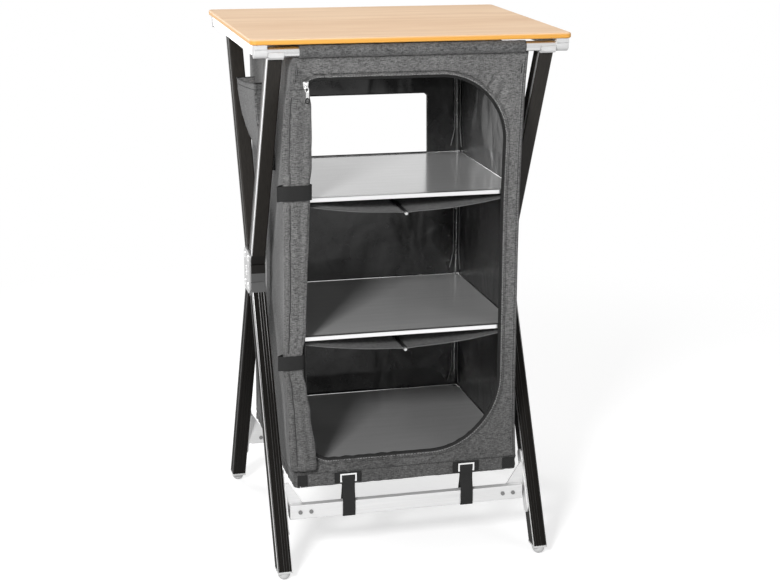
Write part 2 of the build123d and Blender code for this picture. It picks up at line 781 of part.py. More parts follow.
def sling(shelf_top):
    """Sagging cloth under a shelf, with side hems and a sleeve for the rod."""
    top = shelf_top - shelf_thickness - seat_gap
    half = wall_inner_x - seat_gap
    low = top - sling_sag
    upper_arc = ThreePointArc((-half, top), (0, low), (half, top))
    lower_arc = ThreePointArc((half, top - sling_thickness), (0, low - sling_thickness),
                              (-half, top - sling_thickness))
    sheet = make_face(Curve([
        upper_arc, Line((half, top), (half, top - sling_thickness)), lower_arc,
        Line((-half, top - sling_thickness), (-half, top)),
    ]))
    for side in (-1, 1):
        hem_middle = Pos(side * (half - sling_hem_width / 2), top - sling_hem_thickness / 2)
        sheet += hem_middle * Rectangle(sling_hem_width, sling_hem_thickness)
    rod_radius = sling_rod_diameter / 2
    rod_z = low - rod_radius - sling_rod_sleeve
    sheet += Pos(sling_rod_x, rod_z) * Circle(rod_radius + sling_rod_sleeve)
    sheet -= Pos(sling_rod_x, rod_z) * Circle(rod_radius + sling_rod_clearance)
    length = shelf_front_y + shelf_back_y - shelf_corner_radius / 2
    cloth_piece = extrude(front_plane(shelf_front_y) * sheet, amount=-length)
    rod = bar_along_y(sling_rod_x, -shelf_front_y - 1, -shelf_front_y + length, rod_z,
                      rod_radius)
    return cloth_piece, rod


def shelf(name, top):
    """Board with rounded back corners, and the channel along its front edge."""
    depth = shelf_front_y + shelf_back_y - trim_wall
    middle_y = (shelf_back_y - shelf_front_y + trim_wall) / 2
    sheet = Pos(0, middle_y) * Rectangle(2 * shelf_half_width, depth)
    back_corners = sheet.vertices().sort_by(Axis.Y)[-2:]
    sheet = fillet(back_corners, shelf_corner_radius)
    board = extrude(Pos(0, 0, top - shelf_thickness) * sheet, amount=shelf_thickness)
    inside = block(-shelf_half_width - 1, shelf_half_width + 1, -shelf_front_y + trim_wall,
                   -shelf_front_y + trim_depth + 1, top - shelf_thickness + trim_wall,
                   top - trim_wall)
    edge = block(-shelf_half_width, shelf_half_width, -shelf_front_y,
                 -shelf_front_y + trim_depth, top - shelf_thickness, top)
    trim = edge - inside
    save(f"shelf_{name}", board - trim - block(
        -shelf_half_width - 1, shelf_half_width + 1, -shelf_front_y - 1,
        -shelf_front_y + trim_wall, top - shelf_thickness, top))
    save(f"shelf_{name}_trim", trim)


def shelves():
    pieces = [sling(top) for top in shelf_tops]
    save("shelf_slings", *[cloth_piece for cloth_piece, rod in pieces])
    names = ("top", "middle", "bottom")
    for name, (cloth_piece, rod) in zip(names, pieces):
        save(f"sling_rod_{name}", rod)
    tops = (*shelf_tops, floor_top + seat_gap + shelf_thickness)
    for name, top in zip(names, tops):
        shelf(name, top)


def strap_ring(face_y, x):
    """Rectangular wire ring that hangs in front of the hem."""
    y = -face_y - ring_stand_off - ring_wire / 2
    outer = block(x - ring_width / 2, x + ring_width / 2, y - ring_wire / 2, y + ring_wire / 2,
                  ring_bottom, ring_bottom + ring_height)
    inner = block(x - ring_width / 2 + ring_wire, x + ring_width / 2 - ring_wire,
                  y - ring_wire, y + ring_wire, ring_bottom + ring_wire,
                  ring_bottom + ring_height - ring_wire)
    return outer - inner


def strap_tab(face_y, x):
    """Cloth tab that holds the ring's upper wire against the hem."""
    top_wire = ring_bottom + ring_height - ring_wire / 2
    tab = block(x - strap_width / 2, x + strap_width / 2,
                -face_y - ring_stand_off - ring_wire - strap_thickness, -face_y,
                top_wire - tab_height / 2, top_wire + tab_height / 2)
    slot = block(x - strap_width, x + strap_width,
                 -face_y - ring_stand_off - ring_wire - seat_gap,
                 -face_y - ring_stand_off + seat_gap,
                 top_wire - ring_wire / 2 - seat_gap, top_wire + ring_wire / 2 + seat_gap)
    return tab - slot


def strap_loop(face_y, x):
    """Webbing loop from the ring round the lower bar."""
    round_bar = Pos(-bar_y, bar_centre_height) * Rectangle(
        bar_depth + 2 * seat_gap, bar_height + 2 * seat_gap)
    neck_width = ring_wire + 2 * seat_gap
    neck_y = -face_y - ring_stand_off - ring_wire / 2
    neck_top = ring_bottom + ring_wire + seat_gap
    neck_bottom = cabinet_bottom - neck_drop
    neck = Pos(neck_y, (neck_top + neck_bottom) / 2) * Rectangle(
        neck_width, neck_top - neck_bottom)
    neck_foot = Pos(neck_y, neck_bottom) * Rectangle(neck_width, strap_thickness)
    inner = neck + make_hull(round_bar.edges() + neck_foot.edges())
    section = offset(inner, amount=strap_thickness) - inner
    return extrude(Plane.YZ.offset(x - strap_width / 2) * section, amount=strap_width)


def hem_and_straps():
    """Hem band round the cabinet's foot, with rings and straps at front and back."""
    half = cabinet_half_width
    band = block(-half, half, -front_hem_y, back_hem_y, cabinet_bottom, panel_bottom)
    band -= block(-wall_inner_x, wall_inner_x, -front_hem_y + panel, back_hem_y - panel,
                  cabinet_bottom - 1, panel_bottom + 1)
    sides = (("front", front_hem_y, lambda shape: shape), ("back", back_hem_y, to_back))
    for where, face_y, place in sides:
        for x in strap_places:
            band += place(strap_tab(face_y, x))
        save(f"{where}_strap_rings", *[place(strap_ring(face_y, x)) for x in strap_places])
        save(f"{where}_hem_straps", *[place(strap_loop(face_y, x)) for x in strap_places])
    save("cabinet_hem", band)


os.makedirs("parts", exist_ok=True)
hinge()
frame()
worktop()
rails()
cabinet_shell()
zip_band()
rolled_door()
door_ties()
zip_slider()
save("side_pockets", *both_sides(pocket()))
shelves()
hem_and_straps()
print("upper splay", round(degrees(upper_splay), 3), "lower splay", round(degrees(lower_splay), 3))
print("tube height", tube_z, "bar middle", round(bar_y, 2), "cabinet top", round(cabinet_top, 2))
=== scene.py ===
# %% [markdown]
# A folding camping cupboard: a bamboo worktop on crossed aluminium legs, and a cloth cabinet
# that hangs from the two top tubes. The frame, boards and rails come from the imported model.
# Everything sewn is made here, because cloth needs folds, seams and a weave.

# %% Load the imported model
import math
import bmesh
import bpy
from mathutils import Matrix, Vector, noise


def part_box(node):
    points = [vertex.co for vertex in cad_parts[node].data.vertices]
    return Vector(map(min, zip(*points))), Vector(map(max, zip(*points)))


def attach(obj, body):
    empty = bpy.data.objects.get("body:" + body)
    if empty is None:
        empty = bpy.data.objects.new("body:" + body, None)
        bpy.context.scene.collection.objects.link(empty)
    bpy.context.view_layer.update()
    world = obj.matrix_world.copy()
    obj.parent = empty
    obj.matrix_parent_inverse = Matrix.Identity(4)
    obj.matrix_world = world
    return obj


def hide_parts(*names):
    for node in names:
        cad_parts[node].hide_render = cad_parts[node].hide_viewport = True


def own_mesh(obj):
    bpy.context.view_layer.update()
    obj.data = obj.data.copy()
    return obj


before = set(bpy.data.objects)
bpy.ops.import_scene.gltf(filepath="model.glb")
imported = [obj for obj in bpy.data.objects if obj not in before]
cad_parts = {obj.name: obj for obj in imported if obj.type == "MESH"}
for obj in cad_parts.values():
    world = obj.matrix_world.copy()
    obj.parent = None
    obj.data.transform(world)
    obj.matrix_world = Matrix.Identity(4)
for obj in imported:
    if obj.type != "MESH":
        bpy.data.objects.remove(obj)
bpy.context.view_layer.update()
scene = bpy.context.scene
scene.view_settings.view_transform = "Standard"

# %% [markdown]
# The camera stands where the photographer stood: left of the middle, a little above the
# worktop, with a long lens. Its axes are worked out from three angles, and a small shift
# puts the middle of the lens where it was in the picture.

# %% Camera
azimuth, elevation, tilt = math.radians(-15.794), math.radians(14.651), 0.0116
camera_place = (-0.8344, -3.3783, 1.4363)
focal_pixels, lens_x, lens_y = 1761.586, 438.4546, 273.3875
picture_width, picture_height, sensor = 780, 585, 36
back = Vector((math.sin(azimuth) * math.cos(elevation),
               -math.cos(azimuth) * math.cos(elevation), math.sin(elevation)))
right = Vector((math.cos(azimuth), math.sin(azimuth), 0))
up = back.cross(right)
right, up = (math.cos(tilt) * right + math.sin(tilt) * up,
             math.cos(tilt) * up - math.sin(tilt) * right)
camera = bpy.data.objects.new("camera", bpy.data.cameras.new("camera"))
camera.matrix_world = Matrix.Translation(camera_place) @ Matrix(
    (right, up, back)).transposed().to_4x4()
camera.data.sensor_width = sensor
camera.data.lens = focal_pixels / picture_width * sensor
camera.data.shift_x = -(lens_x - picture_width / 2) / picture_width
camera.data.shift_y = (lens_y - picture_height / 2) / picture_width
scene.collection.objects.link(camera)
scene.camera = camera
print("lens", round(camera.data.lens, 2), "mm")

# %% [markdown]
# Materials are built from nodes. A small class holds the node tree of one material and has a
# short command for each kind of node, so that a material below reads as a few lines.

# %% Node commands
def grey(value, warm=0.0):
    return (value * (1 + warm), value, value * (1 - warm), 1)


class Nodes:
    """Short commands for the node tree of one material or world."""

    def __init__(self, owner, target="Principled BSDF"):
        owner.use_nodes = True
        self.owner, self.tree = owner, owner.node_tree
        self.target = self.tree.nodes[target]

    def fill(self, node, inputs):
        """Sets a node's inputs to values, or links them from the sockets of other nodes."""
        for key, value in inputs.items():
            if isinstance(value, bpy.types.NodeSocket):
                self.tree.links.new(value, node.inputs[key])
            else:
                node.inputs[key].default_value = value
        return node

    def set(self, **inputs):
        """Fills inputs of the main shader; an underscore stands for a space in a name."""
        self.fill(self.target, {key.replace("_", " "): inputs[key] for key in inputs})

    def add(self, kind, inputs, **options):
        node = self.tree.nodes.new("ShaderNode" + kind)
        for key, value in options.items():
            setattr(node, key, value)
        return self.fill(node, inputs)

    def coordinates(self):
        """Object coordinates in metres."""
        return self.add("TexCoord", {}).outputs["Object"]

    def axis(self, name):
        return self.add("SeparateXYZ", {0: self.coordinates()}).outputs[name]

    def math(self, operation, *values):
        return self.add("Math", dict(enumerate(values)), operation=operation).outputs[0]

    def grain(self, scale, detail=3.0, roughness=0.6, distortion=0.0):
        """Noise from 0 to 1 that is stretched by the three scales, in cells per metre."""
        place = self.add("Mapping", {"Vector": self.coordinates(), "Scale": scale}).outputs[0]
        return self.add("TexNoise", {
            "Vector": place, "Scale": 1.0, "Detail": detail, "Roughness": roughness,
            "Distortion": distortion}).outputs[0]

    def wave(self, scale, direction="Z", distortion=0.0, detail=2.0):
        """Bands across one direction, for yarns and ribs."""
        return self.add("TexWave", {
            "Vector": self.coordinates(), "Scale": scale, "Distortion": distortion,
            "Detail": detail}, wave_type="BANDS", bands_direction=direction).outputs[1]

    def ramp(self, value, *stops):
        """Colour ramp through (place, colour) stops."""
        node = self.add("ValToRGB", {0: value})
        elements = node.color_ramp.elements
        while len(elements) < len(stops):
            elements.new(0.5)
        for element, (at, colour) in zip(elements, stops):
            element.position = at
            element.color = colour
        return node.outputs[0]

    def tones(self, value, *stops, warm=0.0):
        """Ramp of greys through (place, brightness) stops."""
        return self.ramp(value, *((at, grey(tone, warm)) for at, tone in stops))

    def mix(self, factor, first, second, blend="MIX"):
        return self.add("Mix", {0: factor, 6: first, 7: second}, data_type="RGBA",
                        blend_type=blend).outputs[2]

    def fade(self, value, low, high, start=0.0, end=1.0, **options):
        """Maps the range from low to high onto the range from start to end."""
        return self.add("MapRange", {"Value": value, "From Min": low, "From Max": high,
                                     "To Min": start, "To Max": end}, **options).outputs[0]

    def bump(self, height, distance, strength, **below):
        """Raises the surface by a height; below may hold the Normal of a coarser bump."""
        output = self.add("Bump", {"Height": height, "Distance": distance,
                                   "Strength": strength, **below}).outputs[0]
        self.set(Normal=output)
        return output


def new_look(name):
    return Nodes(bpy.data.materials.new(name))


# %% [markdown]
# The studio: a pale floor and soft light from all round. The world is white where the camera
# looks at it or a shiny surface mirrors it, and weaker where it lights cloth, so large lamps
# can add direction. The floor gets its last bit of white for the camera and mirrors alone,
# which keeps the soft shadow under the feet. The fill lamp is kept out of reflections,
# because its glare would turn a shelf board white that lies outside the cabinet.

# %% World, floor and lamps
white = (1, 1, 1, 1)
soft_light = 0.17
floor_albedo, floor_lift = 0.6, 0.62
world = bpy.data.worlds.new("studio")
scene.world = world
sky = Nodes(world, "Background")
rays = sky.add("LightPath", {}).outputs
seen = sky.math("MAXIMUM", rays["Is Camera Ray"], rays["Is Transmission Ray"])
seen = sky.math("MAXIMUM", seen, rays["Is Glossy Ray"])
sky.set(Color=white, Strength=sky.math("MULTIPLY_ADD", seen, 1 - soft_light, soft_light))

paint = new_look("pale_floor")
rays = paint.add("LightPath", {}).outputs
seen = paint.math("MAXIMUM", rays["Is Camera Ray"], rays["Is Glossy Ray"])
paint.set(Base_Color=grey(floor_albedo), Roughness=0.9, Specular_IOR_Level=0.0,
          Emission_Color=white, Emission_Strength=paint.math("MULTIPLY", seen, floor_lift))
distance = paint.add("VectorMath", {0: paint.coordinates()}, operation="LENGTH").outputs["Value"]
far = paint.fade(distance, 0.7, 2.2, interpolation_type="SMOOTHSTEP")
far = paint.math("MULTIPLY", far, seen)
glow = paint.add("Emission", {"Color": white, "Strength": 1.0}).outputs[0]
blend = paint.add("MixShader", {0: far, 1: paint.target.outputs[0], 2: glow}).outputs[0]
paint.fill(paint.tree.nodes["Material Output"], {"Surface": blend})
bm = bmesh.new()
bmesh.ops.create_grid(bm, x_segments=8, y_segments=8, size=8)
floor_mesh = bpy.data.meshes.new("studio_floor")
bm.to_mesh(floor_mesh)
bm.free()
floor_mesh.materials.append(paint.owner)
studio_floor = bpy.data.objects.new("studio_floor", floor_mesh)
scene.collection.objects.link(studio_floor)


def lamp(name, spot, aim, size, power):
    """Large square lamp at one point, turned towards another."""
    light = bpy.data.lights.new(name, "AREA")
    light.size, light.energy = size, power
    lamp_object = bpy.data.objects.new(name, light)
    turn = (Vector(aim) - Vector(spot)).to_track_quat("-Z", "Y")
    lamp_object.matrix_world = Matrix.Translation(spot) @ turn.to_matrix().to_4x4()
    scene.collection.objects.link(lamp_object)
    return lamp_object


lamp("key", (-1.9, -3.0, 2.2), (0, 0, 0.55), 0.7, 134)
lamp("fill", (1.9, -3.2, 1.4), (0, 0, 0.6), 1.4, 22).visible_glossy = False
lamp("top", (0.2, 0.2, 3.6), (0, 0, 0.5), 1.8, 34)
lamp("rear", (-1.9, 2.6, 1.4), (0, 0, 0.6), 1.2, 40)

# %% [markdown]
# Outdoor polyester in a grey melange: yarns of light and dark grey are woven together, which
# leaves short horizontal flecks. Noise that is stretched sideways gives the flecks, a finer
# noise gives the yarn, and fine bands raise the threads. Painted shade darkens the cloth towards
# the hem. The lining has a shiny coating that keeps its crumples.

# %% Cloth materials
def melange(name, dark, light, warm=0.0):
    """Grey woven cloth with horizontal flecks."""
    look = new_look(name)
    flecks = look.grain((150, 150, 640), detail=3, roughness=0.65)
    upright = look.grain((520, 520, 110), detail=2)
    flecks = look.math("MULTIPLY_ADD", upright, 0.28, look.math("MULTIPLY", flecks, 0.72))
    yarn = look.grain((620, 620, 1200), detail=2)
    clouds = look.grain((16, 16, 5), detail=3)
    colour = look.tones(flecks, (0.36, dark), (0.5, (dark + light) / 2), (0.64, light), warm=warm)
    colour = look.mix(0.4, colour, look.tones(yarn, (0.3, 0.55), (0.7, 0.98)), "MULTIPLY")
    colour = look.mix(0.6, colour, look.tones(clouds, (0.32, 0.62), (0.68, 1.0)), "MULTIPLY")
    # Painted shade: the cloth is darkened towards the hem, where less light reaches it.
    painted_hem_shade = look.fade(look.axis("Z"), 0.17, 0.5, 0.62, 1.0)
    look.set(Base_Color=look.mix(1.0, colour, painted_hem_shade, "MULTIPLY"), Roughness=0.86,
             Specular_IOR_Level=0.25, Sheen_Weight=0.12, Sheen_Roughness=0.5)
    weft = look.wave(210.0, distortion=1.2, detail=1.0)
    coarse = look.bump(flecks, 0.0006, 0.35)
    look.bump(look.math("MULTIPLY_ADD", weft, 0.35, yarn), 0.0005, 0.55, Normal=coarse)
    return look.owner


def coated(name, base, roughness):
    """Shiny coated lining with the crumples that coating keeps."""
    look = new_look(name)
    tone = look.grain((18, 18, 18), detail=3)
    look.set(Base_Color=look.tones(tone, (0.3, base * 0.6), (0.7, base * 1.4)),
             Roughness=roughness, Specular_IOR_Level=0.6)
    crumple = look.grain((13, 13, 6), detail=2.0, roughness=0.5, distortion=0.6)
    coarse = look.bump(crumple, 0.010, 0.5)
    look.bump(look.wave(260.0), 0.0002, 0.15, Normal=coarse)
    return look.owner


def webbing_look(name, base):
    """Woven strap: ribs across it and a fuzzy surface."""
    look = new_look(name)
    ribs = look.wave(170.0, "DIAGONAL", distortion=0.6)
    tone = look.math("MULTIPLY", ribs, look.grain((600, 600, 600), detail=2))
    look.set(Base_Color=look.tones(tone, (0.1, base * 0.5), (0.6, base * 2.2)), Roughness=0.7,
             Specular_IOR_Level=0.3)
    look.bump(tone, 0.0004, 0.6)
    return look.owner


def thread_look(name, base):
    """Twisted thread or cord."""
    look = new_look(name)
    twist = look.wave(420.0, "DIAGONAL")
    look.set(Base_Color=look.tones(twist, (0.2, base * 0.5), (0.8, base * 1.5)), Roughness=0.55)
    look.bump(twist, 0.0002, 0.5)
    return look.owner


cloth = melange("grey_melange", 0.056, 0.262, 0.006)
wall_cloth = melange("grey_side_cloth", 0.065, 0.275)
# Painted shade: the tunnels are the same melange; this darker copy stands in for the shade under
# the worktop.
painted_shade_sleeve_cloth = melange("grey_sleeve_cloth", 0.035, 0.215)
pocket_cloth = melange("grey_pocket_cloth", 0.030, 0.185)
sling_cloth = melange("grey_sling_cloth", 0.05, 0.14)
lining = coated("black_lining", 0.018, 0.27)
webbing = webbing_look("black_webbing", 0.008)
hem_tape = webbing_look("grey_binding", 0.11)
thread = thread_look("dark_thread", 0.022)
light_thread = thread_look("light_thread", 0.30)
# Painted highlight: the piping is shiny black; its light grey stands in for the highlights it
# catches.
piping_painted_highlight = thread_look("shiny_piping", 0.22)

# %% [markdown]
# Metal, plastic and wood. The tubes, rails and bars are satin anodised aluminium with fine
# drawing lines along them. The worktop is bamboo strips under a thin varnish, and the shelf
# boards carry a grey metallic foil.

# %% Metal, plastic and wood materials
def satin_metal(name, base, along, roughness=0.34, metallic=1.0):
    """Anodised aluminium with drawing lines along one axis."""
    look = new_look(name)
    scale = [700, 700, 700]
    scale[along] = 6
    lines = look.grain(scale, detail=2)
    haze = look.grain((14, 14, 14), detail=3)
    look.set(Base_Color=look.tones(lines, (0.3, base * 0.9), (0.7, base)), Metallic=metallic,
             Roughness=look.math("MULTIPLY_ADD", haze, 0.16, roughness - 0.06))
    look.bump(lines, 0.0001, 0.35)
    return look.owner


def moulded(name, base, roughness=0.5, warm=0.0, shine=0.5):
    """Moulded plastic: faint spark texture and a slightly uneven gloss."""
    look = new_look(name)
    cloud = look.grain((30, 30, 30), detail=2)
    look.set(Base_Color=look.tones(cloud, (0.3, base * 0.9), (0.7, base), warm=warm),
             Roughness=look.math("MULTIPLY_ADD", cloud, 0.15, roughness - 0.07),
             Specular_IOR_Level=shine)
    look.bump(look.grain((1500, 1500, 1500), detail=2), 0.0002, 0.25)
    return look.owner


def polished(name, base, roughness):
    """Bright metal with faint smears."""
    look = new_look(name)
    smear = look.grain((60, 60, 60), detail=3)
    look.set(Base_Color=look.tones(smear, (0.3, base * 0.92), (0.7, base)), Metallic=1.0,
             Roughness=look.math("MULTIPLY_ADD", smear, 0.12, roughness - 0.05))
    return look.owner


def bamboo_look():
    """Bamboo strips glued side by side, varnished, with a deeper gold at the edges."""
    look = new_look("bamboo")
    strip_width, edge_low, edge_high = 0.019, 1.0362, 1.0392
    strip = look.math("FLOOR", look.math("DIVIDE", look.axis("Y"), strip_width))
    tone = look.add("TexWhiteNoise", {"W": strip}, noise_dimensions="1D").outputs[0]
    fibres = look.grain((5, 420, 420), detail=4, roughness=0.65)
    blotch = look.grain((3.2, 11, 11), detail=3)
    colour = look.ramp(fibres, (0.32, (0.62, 0.37, 0.185, 1)), (0.68, (0.80, 0.565, 0.345, 1)))
    strips = look.ramp(tone, (0, (0.54, 0.29, 0.12, 1)), (1, (0.88, 0.64, 0.42, 1)))
    blotches = look.ramp(blotch, (0.35, (0.55, 0.28, 0.11, 1)), (0.65, (0.86, 0.63, 0.41, 1)))
    colour = look.mix(0.2, look.mix(0.24, colour, strips), blotches)
    golden = look.mix(fibres, (0.62, 0.27, 0.030, 1), (0.84, 0.44, 0.085, 1))
    low = look.fade(look.axis("Z"), edge_low, edge_high, 1.0, 0.0)
    look.set(Base_Color=look.mix(low, colour, golden), Roughness=0.5, Coat_Weight=0.12,
             Coat_Roughness=0.3)
    look.bump(fibres, 0.0002, 0.3)
    return look.owner


def board_look(name, base, metallic):
    """Shelf board in a grey metallic foil with a fine speckle."""
    look = new_look(name)
    speckle = look.grain((900, 900, 900), detail=2)
    streak = look.grain((8, 90, 90), detail=3)
    colour = look.mix(0.3, look.tones(speckle, (0.3, base * 0.88), (0.7, base)),
                      look.tones(streak, (0.3, base * 0.8), (0.7, base)))
    look.set(Base_Color=colour, Metallic=metallic, Roughness=0.16)
    look.bump(speckle, 0.0001, 0.25)
    return look.owner


aluminium = satin_metal("satin_aluminium", 0.93, 0)
rail_metal = satin_metal("rail_aluminium", 0.98, 1, 0.36)
bar_metal = satin_metal("bar_aluminium", 0.74, 0, 0.5, 0.45)
tube_metal = satin_metal("tube_aluminium", 0.7, 0, 0.26)
light_plastic = moulded("light_grey_plastic", 0.62)
mid_plastic = moulded("grey_plastic", 0.085, 0.45)
black_plastic = moulded("black_plastic", 0.011, 0.45, 0.1, 0.2)
steel = polished("bright_steel", 0.82, 0.22)
# Painted shade: the screws get a darker metal than their steel, standing in for the shade in
# their recessed heads.
screw_metal_painted_shade = polished("dark_screw_metal", 0.22, 0.3)
plate_metal = polished("plate_metal", 0.55, 0.4)
bamboo = bamboo_look()
board = board_look("grey_foil_board", 0.72, 0.40)
low_board = board_look("grey_foil_low_board", 0.72, 0.55)

# %% [markdown]
# The legs are grooved black extrusions. Their side faces and the thin ribs between the grooves
# are painted as bright metal: partly bare edges, partly painted highlight where the edges catch
# the light. Every leg runs straight in the side view, so the distance from its middle line is
# one dot product, and the ribs keep the same X all the way along.

# %% Leg material
leg_outer, leg_inner = 0.2722, 0.2458


def leg_look(name, normal, offset, bright_lines, edge, blacks):
    """Black anodised leg; normal and offset give the distance across it in the side view."""
    look = new_look(name)
    x = look.math("ABSOLUTE", look.axis("X"))
    across = look.add("VectorMath", {0: look.coordinates(), 1: normal}, operation="DOT_PRODUCT")
    across = look.math("SUBTRACT", across.outputs["Value"], offset)
    bare_metal_and_highlight = 0.0
    for line_x, half, share in bright_lines:
        line = look.math("COMPARE", x, line_x, half)
        bare_metal_and_highlight = look.math("MAXIMUM", look.math("MULTIPLY", line, share), bare_metal_and_highlight)
    # Painted shade: the rib lines fade to a faint trace towards the floor, though the ribs run
    # unchanged down the leg.
    bare_metal_and_highlight = look.math("MULTIPLY", bare_metal_and_highlight, look.fade(look.axis("Z"), 0.32, 0.52, 0.12, 1.0))
    edge_place, edge_half, edge_share = edge
    side = look.math("MAXIMUM", look.math("GREATER_THAN", x, leg_outer),
                     look.math("LESS_THAN", x, leg_inner))
    side = look.math("MULTIPLY", side, look.math("COMPARE", across, edge_place, edge_half))
    bare_metal_and_highlight = look.math("MAXIMUM", bare_metal_and_highlight, look.math("MULTIPLY", side, edge_share))
    lines = look.grain((900, 60, 60), detail=2)
    dark = look.tones(lines, (0.3, blacks[0]), (0.7, blacks[1]), warm=0.14)
    look.set(Base_Color=look.mix(bare_metal_and_highlight, dark, grey(0.86)),
             Metallic=look.math("MULTIPLY", bare_metal_and_highlight, 0.9), Specular_IOR_Level=10 * blacks[1],
             Roughness=look.math("MULTIPLY_ADD", lines, 0.15, 0.42))
    look.bump(lines, 0.0001, 0.3)
    return look.owner


upper, lower = math.radians(26.068), math.radians(26.687)
pivot_y = 0.017
leg_lines = {"upper": [(leg_outer, 0.0006, 0.5)],
             "lower": [(0.2708, 0.0006, 0.7), (0.2605, 0.0004, 0.45), (0.2555, 0.0003, 0.3),
                       (0.2500, 0.0004, 0.6)]}
leg_edges = {("upper", "front"): (-0.0108, 0.0034, 1.0),
             ("lower", "front"): (-0.0135, 0.0016, 0.75),
             ("upper", "back"): (-0.0145, 0.001, 0.25), ("lower", "back"): (-0.0145, 0.001, 0.2)}
leg_blacks = {"upper": (0.011, 0.02), "lower": (0.004, 0.008)}
leg_materials = {}
for where, side in (("front", 1), ("back", -1)):
    for half, slope, rise, pivot_z in (("upper", upper, 1, 0.577), ("lower", lower, -1, 0.521)):
        normal = (0, side * math.cos(slope), rise * math.sin(slope))
        offset = -pivot_y * math.cos(slope) + rise * pivot_z * math.sin(slope)
        leg_materials[half, where] = leg_look(
            f"{half}_{where}_leg_black", normal, offset, leg_lines[half] if side > 0 else [],
            leg_edges[half, where], leg_blacks[half])
print("materials", len(bpy.data.materials))

# %% [markdown]
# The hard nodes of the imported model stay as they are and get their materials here. Most of
# them come in a front and a back version.

# %% Materials for the nodes that stay
looks = {
    "worktop_panel": bamboo, "side_rails": rail_metal, "rail_end_clips": light_plastic,
    "shelf_top": board, "shelf_middle": board, "shelf_bottom": low_board,
    "hinge_plates": plate_metal, "hinge_pins": steel, "hinge_blocks_upper": black_plastic,
    "hinge_blocks_lower": mid_plastic, "sling_rod_top": light_plastic,
    "sling_rod_middle": light_plastic,
}
for level in ("top", "middle", "bottom"):
    looks[f"shelf_{level}_trim"] = aluminium
for where in ("front", "back"):
    for part, material in (("top_tube", tube_metal), ("tube_caps", light_plastic),
                           ("tube_saddles", light_plastic), ("lower_bar", bar_metal),
                           ("bar_brackets", bar_metal), ("bar_screws", screw_metal_painted_shade),
                           ("feet", light_plastic), ("strap_rings", steel)):
        looks[f"{where}_{part}"] = material
    for half, material in (("upper", black_plastic), ("lower", mid_plastic)):
        looks[f"{half}_{where}_knuckles"] = material
        for hand in ("left", "right"):
            looks[f"{half}_{where}_leg_{hand}"] = leg_materials[half, where]
for node_name, material in looks.items():
    for material_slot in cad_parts[node_name].material_slots:
        material_slot.material = material
print("nodes dressed", len(looks), "of", len(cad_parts))

# %% [markdown]
# Helpers for new pieces. A grid of squares is made flat and its points are moved to their
# places, which is how a tailor thinks of cloth: flat first, then shaped. Cords and straps
# follow a path of points.

# %% Mesh helpers
def clamp(value):
    return min(1.0, max(0.0, value))


def bell(distance, width):
    """1 at no distance, and smoothly down to nothing within about two widths."""
    return math.exp(-(distance / width) ** 2)


def fold_noise(x, y, seed):
    """Smooth noise from about -1 to 1."""
    return noise.fractal(Vector((x, y, seed)), 1.0, 2.0, 2)


def finish_piece(name, bm, materials, body, replaces=(), sharp=50):
    """Turns a bmesh into an object that rides on a body."""
    for edge in bm.edges:
        edge.smooth = not (len(edge.link_faces) == 2
                           and edge.calc_face_angle(0) > math.radians(sharp))
    for face in bm.faces:
        face.smooth = True
    mesh = bpy.data.meshes.new(name)
    bm.to_mesh(mesh)
    bm.free()
    for material in materials if isinstance(materials, list) else [materials]:
        mesh.materials.append(material)
    piece = bpy.data.objects.new(name, mesh)
    scene.collection.objects.link(piece)
    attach(piece, body)
    if replaces:
        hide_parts(*replaces)
    return piece


def flatten(piece):
    """Gives the cloth piece its own copy of its mesh."""
    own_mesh(piece)


def thicken(piece, thickness, inside=0, offset=-1.0):
    """Solidify; inside is the material index of the inner face."""
    shell = piece.modifiers.new("thickness", "SOLIDIFY")
    shell.thickness = thickness
    shell.offset = offset
    shell.material_offset = inside
    shell.material_offset_rim = 0


def mapped_grid(columns, rows, where, *fixed):
    """Grid whose points go to where(*fixed, u, v), with u and v from 0 to 1."""
    bm = bmesh.new()
    bmesh.ops.create_grid(bm, x_segments=columns, y_segments=rows, size=0.5)
    for vert in bm.verts:
        vert.co = where(*fixed, vert.co.x + 0.5, vert.co.y + 0.5)
    return bm


def open_tube(segments, radius, cuts):
    """Upright tube without ends, 1 m long, cut into rings."""
    bm = bmesh.new()
    bmesh.ops.create_cone(bm, cap_ends=False, segments=segments, radius1=radius,
                          radius2=radius, depth=1.0)
    tall = [e for e in bm.edges if abs(e.verts[0].co.z - e.verts[1].co.z) > 0.5]
    bmesh.ops.subdivide_edges(bm, edges=tall, cuts=cuts, use_grid_fill=True)
    return bm


def face_towards(bm, axis, sign):
    """Turns all faces over if most of them look away from that side."""
    bm.normal_update()
    if sum(face.normal[axis] for face in bm.faces) * sign < 0:
        bmesh.ops.reverse_faces(bm, faces=bm.faces[:])


def curve_mesh(points, kind, closed, steps=6, radius=0.0, sides=8):
    """Mesh of a curve: a chain of points, or a round tube if it has a radius."""
    curve = bpy.data.curves.new("guide", "CURVE")
    curve.dimensions = "3D"
    curve.bevel_depth = radius
    curve.bevel_resolution = max(0, sides // 2 - 2)
    curve.use_fill_caps = radius > 0
    spline = curve.splines.new(kind)
    spline.points.add(len(points) - 1)
    for point, place_at in zip(spline.points, points):
        point.co = (*place_at, 1)
    spline.use_cyclic_u = closed
    spline.order_u = 3
    spline.use_endpoint_u = not closed
    spline.resolution_u = steps
    guide = bpy.data.objects.new("guide", curve)
    mesh = bpy.data.meshes.new_from_object(guide)
    bpy.data.objects.remove(guide)
    bpy.data.curves.remove(curve)
    return mesh


def path_points(points, closed=False, steps=6):
    """Points along a smooth curve that follows the given ones."""
    mesh = curve_mesh(points, "NURBS", closed, steps)
    result = [vert.co.copy() for vert in mesh.vertices]
    bpy.data.meshes.remove(mesh)
    return result


def add_tube(bm, points, radius, closed=False, sides=6):
    """Round cord along points, with closed ends."""
    mesh = curve_mesh(points, "POLY", closed, radius=radius, sides=sides)
    bm.from_mesh(mesh)
    bpy.data.meshes.remove(mesh)


